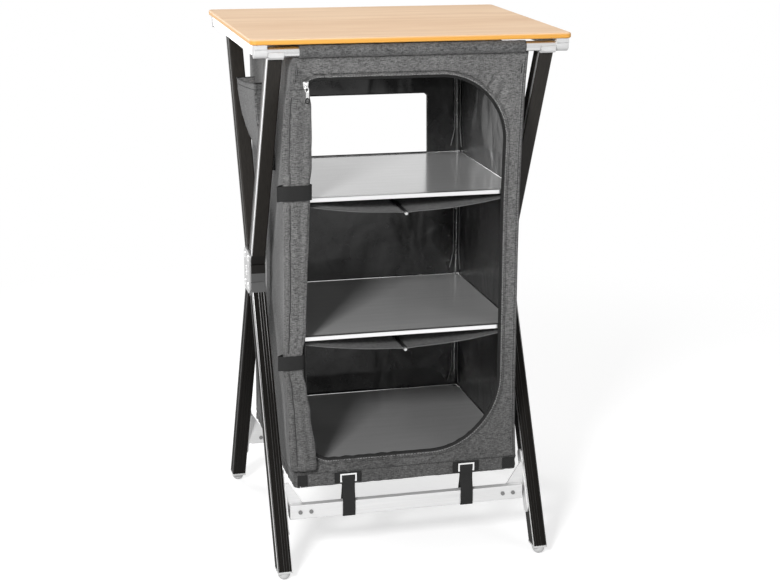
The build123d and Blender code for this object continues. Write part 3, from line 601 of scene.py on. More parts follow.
def add_ribbon(bm, points, across, thickness, closed=False):
    """Flat strap along points; across is the vector over its width."""
    across = Vector(across)
    verts = [bm.verts.new(Vector(point) - across / 2) for point in points]
    pairs = list(zip(verts, verts[1:]))
    if closed:
        pairs.append((verts[-1], verts[0]))
    edges = [bm.edges.new(pair) for pair in pairs]
    faces = []
    for _ in range(4):
        made = bmesh.ops.extrude_edge_only(bm, edges=edges)["geom"]
        bmesh.ops.translate(bm, vec=across / 4,
                            verts=[g for g in made if isinstance(g, bmesh.types.BMVert)])
        edges = [g for g in made if isinstance(g, bmesh.types.BMEdge)
                 and all(v in made for v in g.verts)]
        faces += [g for g in made if isinstance(g, bmesh.types.BMFace)]
    bmesh.ops.recalc_face_normals(bm, faces=faces)
    bmesh.ops.solidify(bm, geom=faces, thickness=thickness)


def add_stitches(bm, points, gap, length, radius):
    """Short threads along a path of points, with a space between them."""
    run, last = 0.0, points[0]
    for point in points[1:]:
        run += (point - last).length
        if run >= gap:
            run = 0.0
            turn = (point - last).normalized().to_track_quat("Z", "Y").to_matrix().to_4x4()
            bmesh.ops.create_cone(bm, cap_ends=True, segments=5, radius1=radius, radius2=radius,
                                  depth=length, matrix=Matrix.Translation(point) @ turn)
        last = point


# %% [markdown]
# Seen from the side, the cabinet hangs from the tubes, leans in to the boards and out again
# to the hem. Two short tables hold that profile, as heights with the distance of the cloth
# from the middle.

# %% Profile of the cabinet
half_width = 0.227
corner_soft, corner_fall = 0.010, 0.35
hem_low, hem_high = 0.1630, 0.188
hem_front, hem_back = 0.219, 0.215
cabinet_top = 1.0041
board_heights = (0.7288, 0.4573, 0.2013)
front_table = [(0.188, 0.219), (0.250, 0.208), (0.350, 0.204), (0.600, 0.203), (0.720, 0.204),
               (0.800, 0.209), (0.870, 0.216), (0.950, 0.226), (1.0041, 0.241)]
back_table = [(0.188, 0.215), (0.250, 0.211), (0.700, 0.210), (0.870, 0.217), (0.950, 0.226),
              (1.0041, 0.241)]
door = {"left": -0.193, "right": 0.187, "top": 0.959, "bottom": 0.219,
        "radii": {"bl": 0.040, "br": 0.140, "tr": 0.131, "tl": 0.014}}


def at_height(table, z, smooth=False):
    """Values of a table's rows at height z, with the end rows held beyond the ends."""
    if z <= table[0][0]:
        return table[0][1:]
    for low_row, high_row in zip(table, table[1:]):
        if z <= high_row[0]:
            share = (z - low_row[0]) / (high_row[0] - low_row[0])
            if smooth:
                share = share * share * (3 - 2 * share)
            return [a + share * (b - a) for a, b in zip(low_row[1:], high_row[1:])]
    return table[-1][1:]


def depth_at(table, z):
    """Distance of a panel's outer face from the middle at height z."""
    return at_height(table, z)[0]


# %% [markdown]
# The front panel is a narrow ring of cloth round the door opening. Its opening is a rectangle
# whose corners are bevelled with four radii, and wider copies of it lie outside. All have the
# same number of points, so bridging them gives rows of squares that follow the opening, as
# the zip tape and the seams do.

# %% Rings round an opening
corner_steps = 28
last_gap = 0.004
tiny = 1e-6


def opening_loop(bm, left, right, low, high, radii, outset, cuts):
    """Edges of a rectangle with rounded corners, grown by outset."""
    corners = [bm.verts.new((x, 0, z)) for x, z in (
        (left - outset, low - outset), (right + outset, low - outset),
        (right + outset, high + outset), (left - outset, high + outset))]
    bm.faces.new(corners)
    for corner, radius in zip(corners, radii):
        bmesh.ops.bevel(bm, geom=[corner], offset=radius + outset, offset_type="OFFSET",
                        affect="VERTICES", segments=corner_steps, profile=0.5, material=-1)
    face = max((f for f in bm.faces if len(f.verts) >= 4 * corner_steps),
               key=lambda f: f.index if f.index >= 0 else 10 ** 9)
    edges = sorted(face.edges, key=lambda e: e.calc_length(), reverse=True)
    bmesh.ops.delete(bm, geom=[face], context="FACES_ONLY")
    straight, rounded = edges[:4], edges[4:]
    for edge in straight:
        a, b = (v.co for v in edge.verts)
        count = cuts[0] if abs(a.x - b.x) > abs(a.z - b.z) else cuts[1]
        parts = bmesh.ops.subdivide_edges(bm, edges=[edge], cuts=count)["geom_split"]
        rounded += [g for g in parts if isinstance(g, bmesh.types.BMEdge)]
    return list(set(rounded))


def ring_panel(opening, outsets, outer, rows, cuts):
    """Rings of cloth from the opening out to a rectangle; returns the bmesh."""
    bm = bmesh.new()
    left, right, low, high, radii = opening
    loops = [opening_loop(bm, *opening, outset, cuts)
             for outset in [*outsets, outsets[-1] + last_gap]]
    last = loops[-1]
    x0, x1, z0, z1 = outer
    verts = list(dict.fromkeys(vert for edge in last for vert in edge.verts))
    for vert in verts:
        bottom, at_left = vert.co.z < 0.5 * (low + high), vert.co.x < 0.5 * (left + right)
        cx = min(max(vert.co.x, left + radii[0 if bottom else 3]),
                 right - radii[1 if bottom else 2])
        cz = min(max(vert.co.z, low + radii[0 if at_left else 1]),
                 high - radii[3 if at_left else 2])
        dx, dz = vert.co.x - cx, vert.co.z - cz
        reach_x = ((x1 if dx > 0 else x0) - cx) / dx if abs(dx) > tiny else math.inf
        reach_z = ((z1 if dz > 0 else z0) - cz) / dz if abs(dz) > tiny else math.inf
        share = min(reach_x, reach_z)
        vert.co = (cx + dx * share, 0, cz + dz * share)
    for cx, cz in ((x0, z0), (x1, z0), (x1, z1), (x0, z1)):
        nearest = min(verts, key=lambda v: (v.co.x - cx) ** 2 + (v.co.z - cz) ** 2)
        nearest.co = (cx, 0, cz)
    for inner_loop, outer_loop in zip(loops, loops[1:]):
        faces = bmesh.ops.bridge_loops(bm, edges=inner_loop + outer_loop)["faces"]
        if outer_loop is last:
            spokes = {e for f in faces for e in f.edges} - set(inner_loop) - set(outer_loop)
            bmesh.ops.subdivide_edges(bm, edges=list(spokes), cuts=rows, use_grid_fill=True)
    bmesh.ops.recalc_face_normals(bm, faces=bm.faces[:])
    return bm


panel_edges = (-half_width + 0.0015, half_width - 0.0015, hem_high, cabinet_top)

# %% [markdown]
# Pulled cloth is never flat. The front gathers under the top tube, folds fan out from its
# upper corners and from the straps at the hem, and the left edge of the opening is drawn
# aside half way up. A narrow groove marks the seam beside the zip tape.

# %% Front panel
zip_tape_width, seam_inner, seam_outer = 0.0055, 0.0105, 0.0112
slack_height, door_slack = 0.50, 0.0075


def front_folds(x, z):
    """How far the front cloth stands out or sinks, in metres."""
    out = 0.0008 * fold_noise(x * 14, z * 5, 3.0)
    gathers = max(0.0, (z - 0.945) / 0.05)
    out += 0.0013 * gathers * fold_noise(x * 70, z * 8, 9.0)
    strip = clamp((abs(x) - 0.19) / 0.02)
    out += 0.0011 * strip * fold_noise(x * 60, z * 7, 12.0)
    for x0, away in ((0.222, -0.78), (0.19, -0.95), (-0.222, -0.7)):
        corner = Vector((x - x0, z - 1.0))
        turn = math.copysign(math.sqrt(1 - away * away), x0)
        along = corner.dot(Vector((-turn, away)))
        side = corner.dot(Vector((-away, -turn)))
        out += 0.0040 * bell(along - 0.06, 0.055) * bell(side, 0.03) * math.cos(side * 260)
    for x0 in (0.222, 0.120, -0.05, -0.120, -0.222):
        reach = Vector(((x - x0) * 1.6, z - 0.19)).length
        out += 0.0030 * bell(reach, 0.06) * math.cos((x - x0) * 230 + (z - 0.19) * 140)
    return out


def door_gap(x, z):
    """Distance of a point on the front panel from the door opening."""
    radius = door["radii"][("t" if z > 0.59 else "b") + ("r" if x > 0 else "l")]
    cx = min(max(x, door["left"] + radius), door["right"] - radius)
    cz = min(max(z, door["bottom"] + radius), door["top"] - radius)
    return math.hypot(x - cx, z - cz) - radius


def onto_front(x, z, out=0.0):
    """Point on the front panel, out metres in front of its outer face."""
    edge = max(0.0, abs(x) - (half_width - corner_soft))
    slack = bell(z - slack_height, 0.19)
    slack *= math.sin(math.pi * clamp((x + half_width) / 0.085)) * door_slack
    return Vector((x - slack, -depth_at(front_table, z) - out + edge * corner_fall, z))


door_hole = (door["left"], door["right"], door["bottom"], door["top"],
             tuple(door["radii"].values()))
bm = ring_panel(door_hole, [0.0, 0.003, 0.0055, 0.0095, 0.0108, 0.0121], panel_edges, 9,
                (64, 110))
for vert in bm.verts:
    x, z = vert.co.x, vert.co.z
    gap = door_gap(x, z)
    seam = -0.0016 if seam_inner < gap < seam_outer else 0.0008 if gap < seam_inner else 0.0
    vert.co = onto_front(x, z, front_folds(x, z) - 0.0009 + seam)
for face in bm.faces:
    middle = face.calc_center_median()
    if door_gap(middle.x, middle.z) < zip_tape_width:
        face.material_index = 2
bmesh.ops.recalc_face_normals(bm, faces=bm.faces[:])
face_towards(bm, 1, -1)
front_cloth = finish_piece("front_cloth", bm, [cloth, lining, webbing], "cabinet_front_panel",
                           ["cabinet_front"])
thicken(front_cloth, 0.0018, inside=1)
print("front cloth", len(front_cloth.data.vertices), "points")

# %% [markdown]
# A side wall is one cloth that turns round both corners to the seams at front and back. Each
# row of the grid runs from seam to seam: a short arc, the flat side and another arc. The
# lining is a second, looser layer inside it, crumpled wherever no board presses on it.

# %% Side walls and their lining
corner_round, wall_run = 0.011, 0.42


def wall_point(u, z, out=0.0, inset=0.0):
    """Point on the right hand wall; u runs from the front seam to the back seam."""
    front = depth_at(front_table, z) - inset
    back_depth = depth_at(back_table, z) - inset
    radius = corner_round - inset / 2
    x_out = half_width - inset + out
    arc = radius * math.pi / 2
    length = front + back_depth - 2 * radius
    run = u * (2 * arc + length)
    if run < arc:
        angle = run / radius
        return Vector((x_out - radius + radius * math.sin(angle),
                       -front + radius - radius * math.cos(angle), z))
    if run > arc + length:
        angle = (run - arc - length) / radius
        return Vector((x_out - radius + radius * math.cos(angle),
                       back_depth - radius + radius * math.sin(angle), z))
    return Vector((x_out, -front + radius + run - arc, z))


def wall_place(side, u, v):
    z = hem_high + v * (cabinet_top - hem_high)
    y = (u - 0.5) * wall_run
    middle = math.sin(math.pi * clamp(u)) * math.sin(math.pi * v) ** 0.5
    edge = bell(u - 0.1, 0.07) + 0.5 * bell(u - 0.9, 0.07)
    hang = math.sin(math.pi * v) ** 0.4
    lean = y + 0.10 * (z - 0.6) * fold_noise(z * 1.5, 0, side * 15.0)
    out = middle * (0.0034 * fold_noise(lean * 11, z * 1.8, side * 5.0)
                    + 0.0014 * fold_noise(y * 25, z * 7, side * 7.0))
    out += hang * edge * 0.0030 * (1 + fold_noise(y * 55 + 0.4 * math.sin(z * 9), z * 3,
                                                  side * 9.0))
    point = wall_point(u, z, out)
    point.x *= side
    return point


def loose(z):
    """Nothing where a board presses on the lining, and 1 where the lining is free."""
    return min(1.0, min(abs(z - height) for height in board_heights) / 0.05)


def crumples(x, y, seed):
    return noise.ridged_multi_fractal(Vector((x, y, seed)), 0.9, 2.1, 3, 0.9, 2.0)


def lining_place(side, u, v):
    z = hem_high + 0.008 + v * (cabinet_top - hem_high - 0.012)
    y = (u - 0.5) * wall_run
    free = loose(z) * min(1.0, v * 12, (1 - v) * 12) * min(1.0, u * 8, (1 - u) * 8)
    ridges = crumples(y * 5 + z * 2, z * 6 - y * 3, side * 11.0)
    depth = 0.0010 + (0.0022 + 0.0020 * bell(u - 0.84, 0.10)) * ridges
    point = wall_point(u, z, -free * depth, 0.0022)
    point.x *= side
    return point


for side, hand in ((1, "right"), (-1, "left")):
    bm = mapped_grid(96, 100, wall_place, side)
    face_towards(bm, 0, side)
    piece = finish_piece(f"{hand}_wall_cloth", bm, [wall_cloth, lining], "cabinet",
                         ["cabinet_walls"])
    thicken(piece, 0.0014, inside=1)
    flatten(piece)
    bm = mapped_grid(120, 150, lining_place, side)
    face_towards(bm, 0, -side)
    piece = finish_piece(f"{hand}_wall_lining", bm, lining, "cabinet", sharp=80)
    flatten(piece)

# %% [markdown]
# The back panel has a window above the top board, with a bound edge. It is the same ring of
# cloth, round a smaller opening, and lined in black like the rest.

# %% Back panel with its window
window_side, window_low, window_high = 0.151, 0.728, 0.859
window_middle, window_reach = (window_low + window_high) / 2, (window_high - window_low) / 2
window = (-window_side, window_side, window_low, window_high, (0.008,) * 4)
bm = ring_panel(window, [0.0, 0.003, 0.009, 0.012], panel_edges, 26, (34, 20))
for vert in bm.verts:
    x, z = vert.co.x, vert.co.z
    edge = max(0.0, abs(x) - (half_width - corner_soft))
    free = min(1.0, min(z - hem_high, cabinet_top - z) / 0.06) * min(1.0, (0.225 - abs(x)) / 0.04)
    sill = clamp(max(abs(x) - window_side, abs(z - window_middle) - window_reach) / 0.03)
    swell = 0.0012 + 0.0026 * sill * fold_noise(x * 10, z * 2.2, 21.0)
    out = max(0.0, free) * swell - 0.0006
    vert.co = (x, depth_at(back_table, z) + out - edge * corner_fall, z)
face_towards(bm, 1, 1)
back_cloth = finish_piece("back_cloth", bm, [cloth, lining], "cabinet_back_panel",
                          ["cabinet_back"])
thicken(back_cloth, 0.0016, inside=1)


def back_lining_place(low, high, u, v):
    x = (u - 0.5) * 2 * (half_width - 0.004)
    z = low + v * (high - low)
    ridges = crumples(x * 5 + z * 2, z * 7 - x * 3, 31.0)
    ridges *= 0.0022 + 0.003 * bell(abs(x) - 0.185, 0.04)
    free = loose(z) * min(1.0, u * 10, (1 - u) * 10, v * 10, (1 - v) * 10)
    return Vector((x, depth_at(back_table, z) - 0.0024 - free * (0.001 + ridges), z))


bm = mapped_grid(120, 140, back_lining_place, hem_high + 0.008, 0.712)
face_towards(bm, 1, -1)
back_lining = finish_piece("back_lining", bm, lining, "cabinet_back_panel", sharp=80)

# %% [markdown]
# Roof and floor are plain lined cloths. The floor carries the lowest board and the roof
# closes the cabinet under the worktop.

# %% Roof and floor
def flat_place(low, high, z, sag, seed, u, v):
    x = low.x + u * (high.x - low.x)
    y = low.y + v * (high.y - low.y)
    free = math.sin(math.pi * u) * math.sin(math.pi * v)
    return Vector((x, y, z - free * sag + 0.0006 * free * fold_noise(x * 12, y * 12, seed)))


for name, z, sag, seed in (("roof", cabinet_top, 0.0015, 41.0),
                           ("floor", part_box("cabinet_floor")[1].z, 0.002, 43.0)):
    low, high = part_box(f"cabinet_{name}")
    bm = mapped_grid(48, 44, flat_place, low, high, z - 0.0004, sag, seed)
    piece = finish_piece(f"{name}_cloth", bm, [lining, lining], "cabinet",
                         [f"cabinet_{name}"])
    thicken(piece, 0.0012)
    flatten(piece)

# %% [markdown]
# Tunnels sewn round the top tubes carry the whole cabinet. The cloth is a little wider than
# the tube's length between the saddles, so it is gathered: short ripples run round it.

# %% Tunnels round the top tubes
tunnel_radius = 0.0106
for where_name, side in (("front", -1), ("back", 1)):
    low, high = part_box(f"{where_name}_tube_sleeve")
    middle = (low + high) / 2
    bm = open_tube(40, tunnel_radius, 110)
    for vert in bm.verts:
        x = vert.co.z * (high.x - low.x)
        angle = math.atan2(vert.co.y, vert.co.x)
        gather = 0.0009 * fold_noise(x * 95, math.sin(angle), 51.0 + side)
        gather += 0.0004 * fold_noise(x * 30, math.cos(angle) * 2, 55.0 + side)
        radius = tunnel_radius + gather
        vert.co = (x, middle.y + radius * math.cos(angle), middle.z + radius * math.sin(angle))
    bmesh.ops.recalc_face_normals(bm, faces=bm.faces[:])
    # The tunnels wear the darker copy of the melange, with the worktop's shade painted in.
    piece = finish_piece(f"{where_name}_tunnel", bm, painted_shade_sleeve_cloth,
                         f"upper_{where_name}_frame",
                         [f"{where_name}_tube_sleeve"])
    thicken(piece, 0.0008)

# %% [markdown]
# The hem is a doubled band round the foot of the cabinet. Two rows of stitches pull it in
# and leave small puckers between them.

# %% Hem band
hem_round, hem_length = 0.012, 1.74


def hem_point(turn, z, out):
    """Point round the hem; turn goes once round a rectangle with rounded corners."""
    radius = hem_round
    width, depth = half_width + out, (hem_front + hem_back) / 2 + out
    shift = (hem_back - hem_front) / 2
    straight_x, straight_y = 2 * (width - radius), 2 * (depth - radius)
    arc = radius * math.pi / 2
    run = turn * (2 * straight_x + 2 * straight_y + 4 * arc)
    legs = [(straight_x, (-width + radius, -depth), (1, 0), (1, -1)),
            (straight_y, (width, -depth + radius), (0, 1), (1, 1)),
            (straight_x, (width - radius, depth), (-1, 0), (-1, 1)),
            (straight_y, (-width, depth - radius), (0, -1), (-1, -1))]
    for quarter, (length, start, way, corner) in enumerate(legs):
        if run <= length:
            return Vector((start[0] + way[0] * run, start[1] + way[1] * run + shift, z))
        run -= length
        if run <= arc:
            angle = run / radius - math.pi / 2 + quarter * math.pi / 2
            return Vector(((width - radius) * corner[0] + radius * math.cos(angle),
                           (depth - radius) * corner[1] + radius * math.sin(angle) + shift, z))
        run -= arc
    return Vector((-width + radius, -depth + shift, z))


def hem_place(u, v):
    z = hem_low + v * (hem_high + 0.004 - hem_low)
    length = u * hem_length
    pucker = 0.5 + 0.5 * math.cos(v * 2 * math.pi * 2)
    out = 0.0018 * pucker * fold_noise(length * 75, v * 2, 61.0) + 0.0010 * (1 - pucker)
    drop = 0.0016 * fold_noise(length * 22, 0, 63.0) * (1 - v)
    return hem_point(u % 1.0, z + drop, out - 0.0006)


bm = mapped_grid(700, 14, hem_place)
bmesh.ops.remove_doubles(bm, verts=bm.verts[:], dist=0.00005)
bm.normal_update()
if sum(f.normal.x * f.calc_center_median().x for f in bm.faces) < 0:
    bmesh.ops.reverse_faces(bm, faces=bm.faces[:])
hem_band = finish_piece("hem_band", bm, [cloth, lining], "cabinet",
                        ["cabinet_hem"])
thicken(hem_band, 0.0018, inside=1)
flatten(hem_band)

# %% [markdown]
# The open door is rolled up and hangs down the left of the opening. It is modelled as the
# real sheet of cloth, wound four and a half times into a flat spiral, so its end shows the
# layers. Where a tie holds it the roll is narrow, and between the ties it swells. Each row
# of the table gives a height, the roll's left and right edge, and its depth.

# %% Rolled door
roll_low, roll_high, turns = 0.2015, 0.957, 4.5
tie_heights = ((0.735, 0.764), (0.405, 0.433))
tie_middles = [(low_z + high_z) / 2 for low_z, high_z in tie_heights]
crease_share, dent_share = 0.25, 0.66
roll_table = [(0.2015, -0.2335, -0.182, 0.0150), (0.209, -0.236, -0.179, 0.0175),
              (0.240, -0.2365, -0.180, 0.021), (0.315, -0.2375, -0.190, 0.0225),
              (0.360, -0.240, -0.197, 0.0215), (0.405, -0.245, -0.206, 0.0175),
              (0.433, -0.245, -0.206, 0.0175), (0.480, -0.2435, -0.198, 0.021),
              (0.588, -0.2425, -0.1945, 0.0225), (0.690, -0.2435, -0.191, 0.021),
              (0.735, -0.244, -0.189, 0.0175), (0.764, -0.244, -0.189, 0.0175),
              (0.800, -0.2465, -0.186, 0.021), (0.860, -0.2455, -0.1855, 0.019),
              (0.911, -0.242, -0.186, 0.014), (0.937, -0.237, -0.190, 0.010),
              (0.9590, -0.2250, -0.1940, 0.006)]


def roll_at(z):
    """Left edge, right edge and depth of the roll at height z."""
    return at_height(roll_table, z, smooth=True)


def crease_at(z):
    """Share of the roll's width at which its long crease runs."""
    return crease_share + 0.03 * fold_noise(z * 5, 0, 75.0)


def roll_point(u, z):
    """Point on the rolled sheet; u runs from its inner edge to its outer edge."""
    left, right_edge, depth = roll_at(z)
    width = right_edge - left
    angle = math.pi - (1 - u) * turns * 2 * math.pi
    drift = 1.6 * fold_noise(z * 2.2, 0, 71.0)
    lobes = 0.15 * (1 - 2 * abs(math.cos(1.5 * angle + drift + 0.5)) ** 0.6)
    lobes += 0.05 * fold_noise(math.cos(angle) * 2 + z * 6, math.sin(angle) * 2, 73.0)
    tied = min(1.0, min(abs(z - middle_z) for middle_z in tie_middles) / 0.04)
    size = (0.34 + 0.66 * u) * (1 - (0.4 + 0.6 * tied) * abs(lobes) * u)
    x = (left + right_edge) / 2 + width / 2 * size * math.cos(angle)
    y = depth / 2 * size * math.sin(angle)
    crease = left + crease_at(z) * width
    second = left + (dent_share + 0.06 * fold_noise(z * 3, 0, 77.0)) * width
    dent = (0.28 * bell(x - crease, 0.010) + 0.40 * bell(x - crease, 0.0032)
            + 0.42 * bell(x - second, 0.007))
    y *= 1 - dent * (0.35 + 0.65 * tied)
    return Vector((x, -depth_at(front_table, z) - 0.0024 - depth / 2 - y, z))


def roll_place(u, v):
    return roll_point(u, roll_low + v * (roll_high - roll_low))


rolled_door = finish_piece("rolled_door_cloth", mapped_grid(216, 130, roll_place),
                           [lining, cloth], "cabinet_front_panel",
                           ["rolled_door"], sharp=80)
thicken(rolled_door, 0.0007, inside=1, offset=0.0)

# %% [markdown]
# Two webbing ties go round the roll. They are longer than they need be, so each stands off
# at the outer side in a loose loop.

# %% Door ties
tie_thickness, loose_loop, loop_steps = 0.0012, 0.009, 40
bm = bmesh.new()
for low_z, high_z in tie_heights:
    z = (low_z + high_z) / 2
    left, right_edge, depth = roll_at(z)
    left -= loose_loop
    back_y = -depth_at(front_table, high_z) - tie_thickness
    middle_x, middle_y = (left + right_edge) / 2, back_y - tie_thickness - depth / 2
    reach_x, reach_y = (right_edge - left) / 2 + tie_thickness, depth / 2 + tie_thickness
    loop = []
    for step in range(loop_steps):
        angle = step / loop_steps * 2 * math.pi
        c, s = math.cos(angle), math.sin(angle)
        slim = 1 - 0.45 * max(0.0, -c) ** 3
        loop.append((middle_x + reach_x * math.copysign(abs(c) ** 0.75, c),
                     middle_y + slim * reach_y * math.copysign(abs(s) ** 0.75, s),
                     z - 0.002 * max(0.0, -c) ** 4))
    add_ribbon(bm, loop, (0, 0, high_z - low_z), tie_thickness, closed=True)
finish_piece("door_tie_webbing", bm, webbing, "cabinet_front_panel", ["door_ties"])

# %% [markdown]
# Zip: a black tape round the opening with a raised row of coil teeth, and light stitches and
# a second, dark line of stitches outside it. Coil and stitches follow the opening's outline.
# More dark stitches run down both corner seams and along the hem.

# %% Zip coil and stitches
def round_door(outset, out, gap):
    """Evenly spaced points round the door opening, grown by outset, on the front panel."""
    points = []
    for name, x, z, sx, sz, first in (
            ("br", door["right"], door["bottom"], 1, -1, -90),
            ("tr", door["right"], door["top"], 1, 1, 0),
            ("tl", door["left"], door["top"], -1, 1, 90),
            ("bl", door["left"], door["bottom"], -1, -1, 180)):
        radius = door["radii"][name]
        for step in range(15):
            angle = math.radians(first + 90 * step / 14)
            points.append((x - sx * radius + (radius + outset) * math.cos(angle),
                           z - sz * radius + (radius + outset) * math.sin(angle)))
    return [onto_front(x, z, out) for x, z in spaced(points, gap)]


def spaced(points, gap):
    """Evenly spaced points along a closed chain of flat points."""
    result, left_over = [], 0.0
    for (x0, z0), (x1, z1) in zip(points, points[1:] + points[:1]):
        length = math.hypot(x1 - x0, z1 - z0)
        at = left_over
        while at < length:
            share = at / length
            result.append((x0 + share * (x1 - x0), z0 + share * (z1 - z0)))
            at += gap
        left_over = at - length
    return result


bm = bmesh.new()
add_tube(bm, round_door(0.0034, 0.0010, 0.006), 0.0015, closed=True, sides=8)
add_tube(bm, round_door(0.0015, 0.0004, 0.006), 0.0011, closed=True)
finish_piece("zip_coil", bm, webbing, "cabinet_front_panel", ["door_zip"], sharp=70)
bm = bmesh.new()
add_stitches(bm, round_door(0.0072, 0.0006, 0.001), 0.0050, 0.0030, 0.00055)
finish_piece("light_stitches", bm, light_thread, "cabinet_front_panel", sharp=60)
bm = bmesh.new()
add_stitches(bm, round_door(0.0130, 0.0004, 0.001), 0.0045, 0.0036, 0.00055)
for x in (-0.2190, 0.2190):
    path = [onto_front(x, 0.195 + step * 0.001, 0.0006) for step in range(800)]
    add_stitches(bm, path, 0.0045, 0.0038, 0.0006)
path = [onto_front(-0.216 + step * 0.001, 0.1905, 0.0010) for step in range(432)]
add_stitches(bm, path, 0.0045, 0.0040, 0.0007)
finish_piece("front_stitches", bm, thread, "cabinet_front_panel", sharp=60)

# %% [markdown]
# The slider is a small casting: a body over the coil, a bridge on top, and a pull with a
# cord through its eye.

# %% Zip slider and pull
slider_top, slider_foot, slider_deep, slider_high = 0.0115, 0.0080, 0.0050, 0.0135
low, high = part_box("zip_slider")
middle = (low + high) / 2 + Vector((-0.0045, -0.0034, -0.0095))
bm = bmesh.new()
bmesh.ops.create_cube(bm, size=1.0)
for vert in bm.verts:
    wide = slider_top if vert.co.z > 0 else slider_foot
    vert.co = middle + Vector((vert.co.x * wide, vert.co.y * slider_deep,
                               vert.co.z * slider_high))
bmesh.ops.bevel(bm, geom=bm.edges[:], offset=0.0012, segments=3, profile=0.5,
                affect="EDGES", offset_type="OFFSET")
bridge = [middle + Vector((0, y, z)) for y, z in (
    (-0.0020, 0.0055), (-0.0062, 0.0050), (-0.0066, -0.0010), (-0.0022, -0.0045))]
add_tube(bm, path_points(bridge), 0.0013, sides=8)
finish_piece("zip_slider_metal", bm, steel, "zip_slider_body", ["zip_slider"], sharp=40)
eye = middle + Vector((0.0008, -0.0062, -0.0035))
bm = bmesh.new()
ring = []
for step in range(16):
    angle = step * math.pi / 8
    ring.append(eye + Vector((0.0032 * math.sin(angle), -0.0004,
                              0.0046 * math.cos(angle) - 0.0040)))
add_tube(bm, ring, 0.0009, closed=True)
tongue = [eye + Vector((0.0012, -0.0008, -0.0085 - step * 0.0042)) for step in range(4)]
add_ribbon(bm, tongue, (0.0056, 0, 0), 0.0014)
finish_piece("zip_pull_metal", bm, steel, "zip_pull_body", ["zip_pull"], sharp=40)
bm = bmesh.new()
loop = [eye + Vector(spot) for spot in (
    (0.0010, -0.0020, -0.0190), (0.0050, -0.0016, -0.0230), (0.0040, -0.0012, -0.0290),
    (-0.0020, -0.0012, -0.0290), (-0.0028, -0.0016, -0.0230))]
add_tube(bm, path_points(loop, closed=True), 0.0010, closed=True)
finish_piece("zip_pull_loop", bm, webbing, "zip_pull_body", sharp=60)

# %% [markdown]
# Slings under the upper two boards hang between the walls. A sheet that is held along two
# sides sags in an arc, and a sleeve along its middle holds a thin rod.

# %% Slings
sling_front, sling_depth, sling_sag, board_drop = -0.1985, 0.380, 0.0245, 0.0077


def sling_place(top, seed, u, v):
    x = (u - 0.5) * 2 * (half_width - 0.0036)
    y = sling_front + v * sling_depth
    share = 1 - (2 * u - 1) ** 2
    ripple = 0.0011 * fold_noise(x * 10, y * 22, seed) * share
    pinch = 0.002 * bell(x, 0.012)
    return Vector((x, y, top - 0.0012 - sling_sag * share + ripple - pinch))


for name, rod_name, board_top, seed in (("upper", "sling_rod_top", 0.7325, 81.0),
                                        ("lower", "sling_rod_middle", 0.461, 82.0)):
    top = board_top - board_drop
    piece = finish_piece(f"{name}_sling", mapped_grid(96, 48, sling_place, top, seed),
                         sling_cloth, "cabinet", ["shelf_slings"])
    thicken(piece, 0.0010)
    flatten(piece)
    bm = bmesh.new()
    edge = [sling_place(top, seed, step / 40, 0.0) + Vector((0, -0.0006, -0.0006))
            for step in range(41)]
    add_tube(bm, edge, 0.0010)
    for x in (-0.0065, 0.0065):
        path = [sling_place(top, seed, 0.5 + x / 0.4468, step / 20) + Vector((0, 0, 0.0008))
                for step in range(21)]
        add_tube(bm, path, 0.0009)
    piece = finish_piece(f"{name}_sling_hem", bm, hem_tape, "cabinet")
    flatten(piece)
    rod_low, rod_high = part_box(rod_name)
    rod_z = (rod_low.z + rod_high.z) / 2
    bm = open_tube(20, 0.0042, 24)
    for vert in bm.verts:
        vert.co = (vert.co.x, -0.008 + vert.co.z * 0.376, rod_z + vert.co.y)
    bmesh.ops.recalc_face_normals(bm, faces=bm.faces[:])
    piece = finish_piece(f"{name}_sling_sleeve", bm, lining, "cabinet")
    thicken(piece, 0.0008)
    flatten(piece)

# %% [markdown]
# The boards are cut from foil-covered sheet, so a fine bright line runs along their rims. A
# dark binding closes the lower edge of the window behind the top board.

# %% Rims of the boards
inset, rim_radius = 0.0006, 0.0011
for name in ("top", "middle", "bottom"):
    low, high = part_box(f"shelf_{name}")
    rim = [Vector((x, y, high.z)) for x, y in (
        (high.x - inset, low.y + 0.003), (high.x - inset, high.y - inset),
        (low.x + inset, high.y - inset), (low.x + inset, low.y + 0.003))]
    bm = bmesh.new()
    add_tube(bm, rim, rim_radius)
    finish_piece(f"{name}_board_rim", bm, steel, f"{name}_shelf")
low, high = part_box("shelf_top")
bm = bmesh.new()
add_tube(bm, [Vector((x, high.y - 0.0014, high.z + 0.0014)) for x in (-0.150, 0.0, 0.150)],
         0.0012)
finish_piece("window_sill_binding", bm, webbing, "cabinet_back_panel")

# %% [markdown]
# Side pockets stand off the walls between the legs. Each is one strip of cloth that starts at
# the wall, goes round the outside and back to the wall, narrowing towards the bottom. Its
# rear edge slants along the leg, and its rim hangs in a shallow curve.

# %% Side pockets
pocket_low, pocket_high, pocket_front, pocket_keep = 0.763, 0.915, -0.060, 0.008


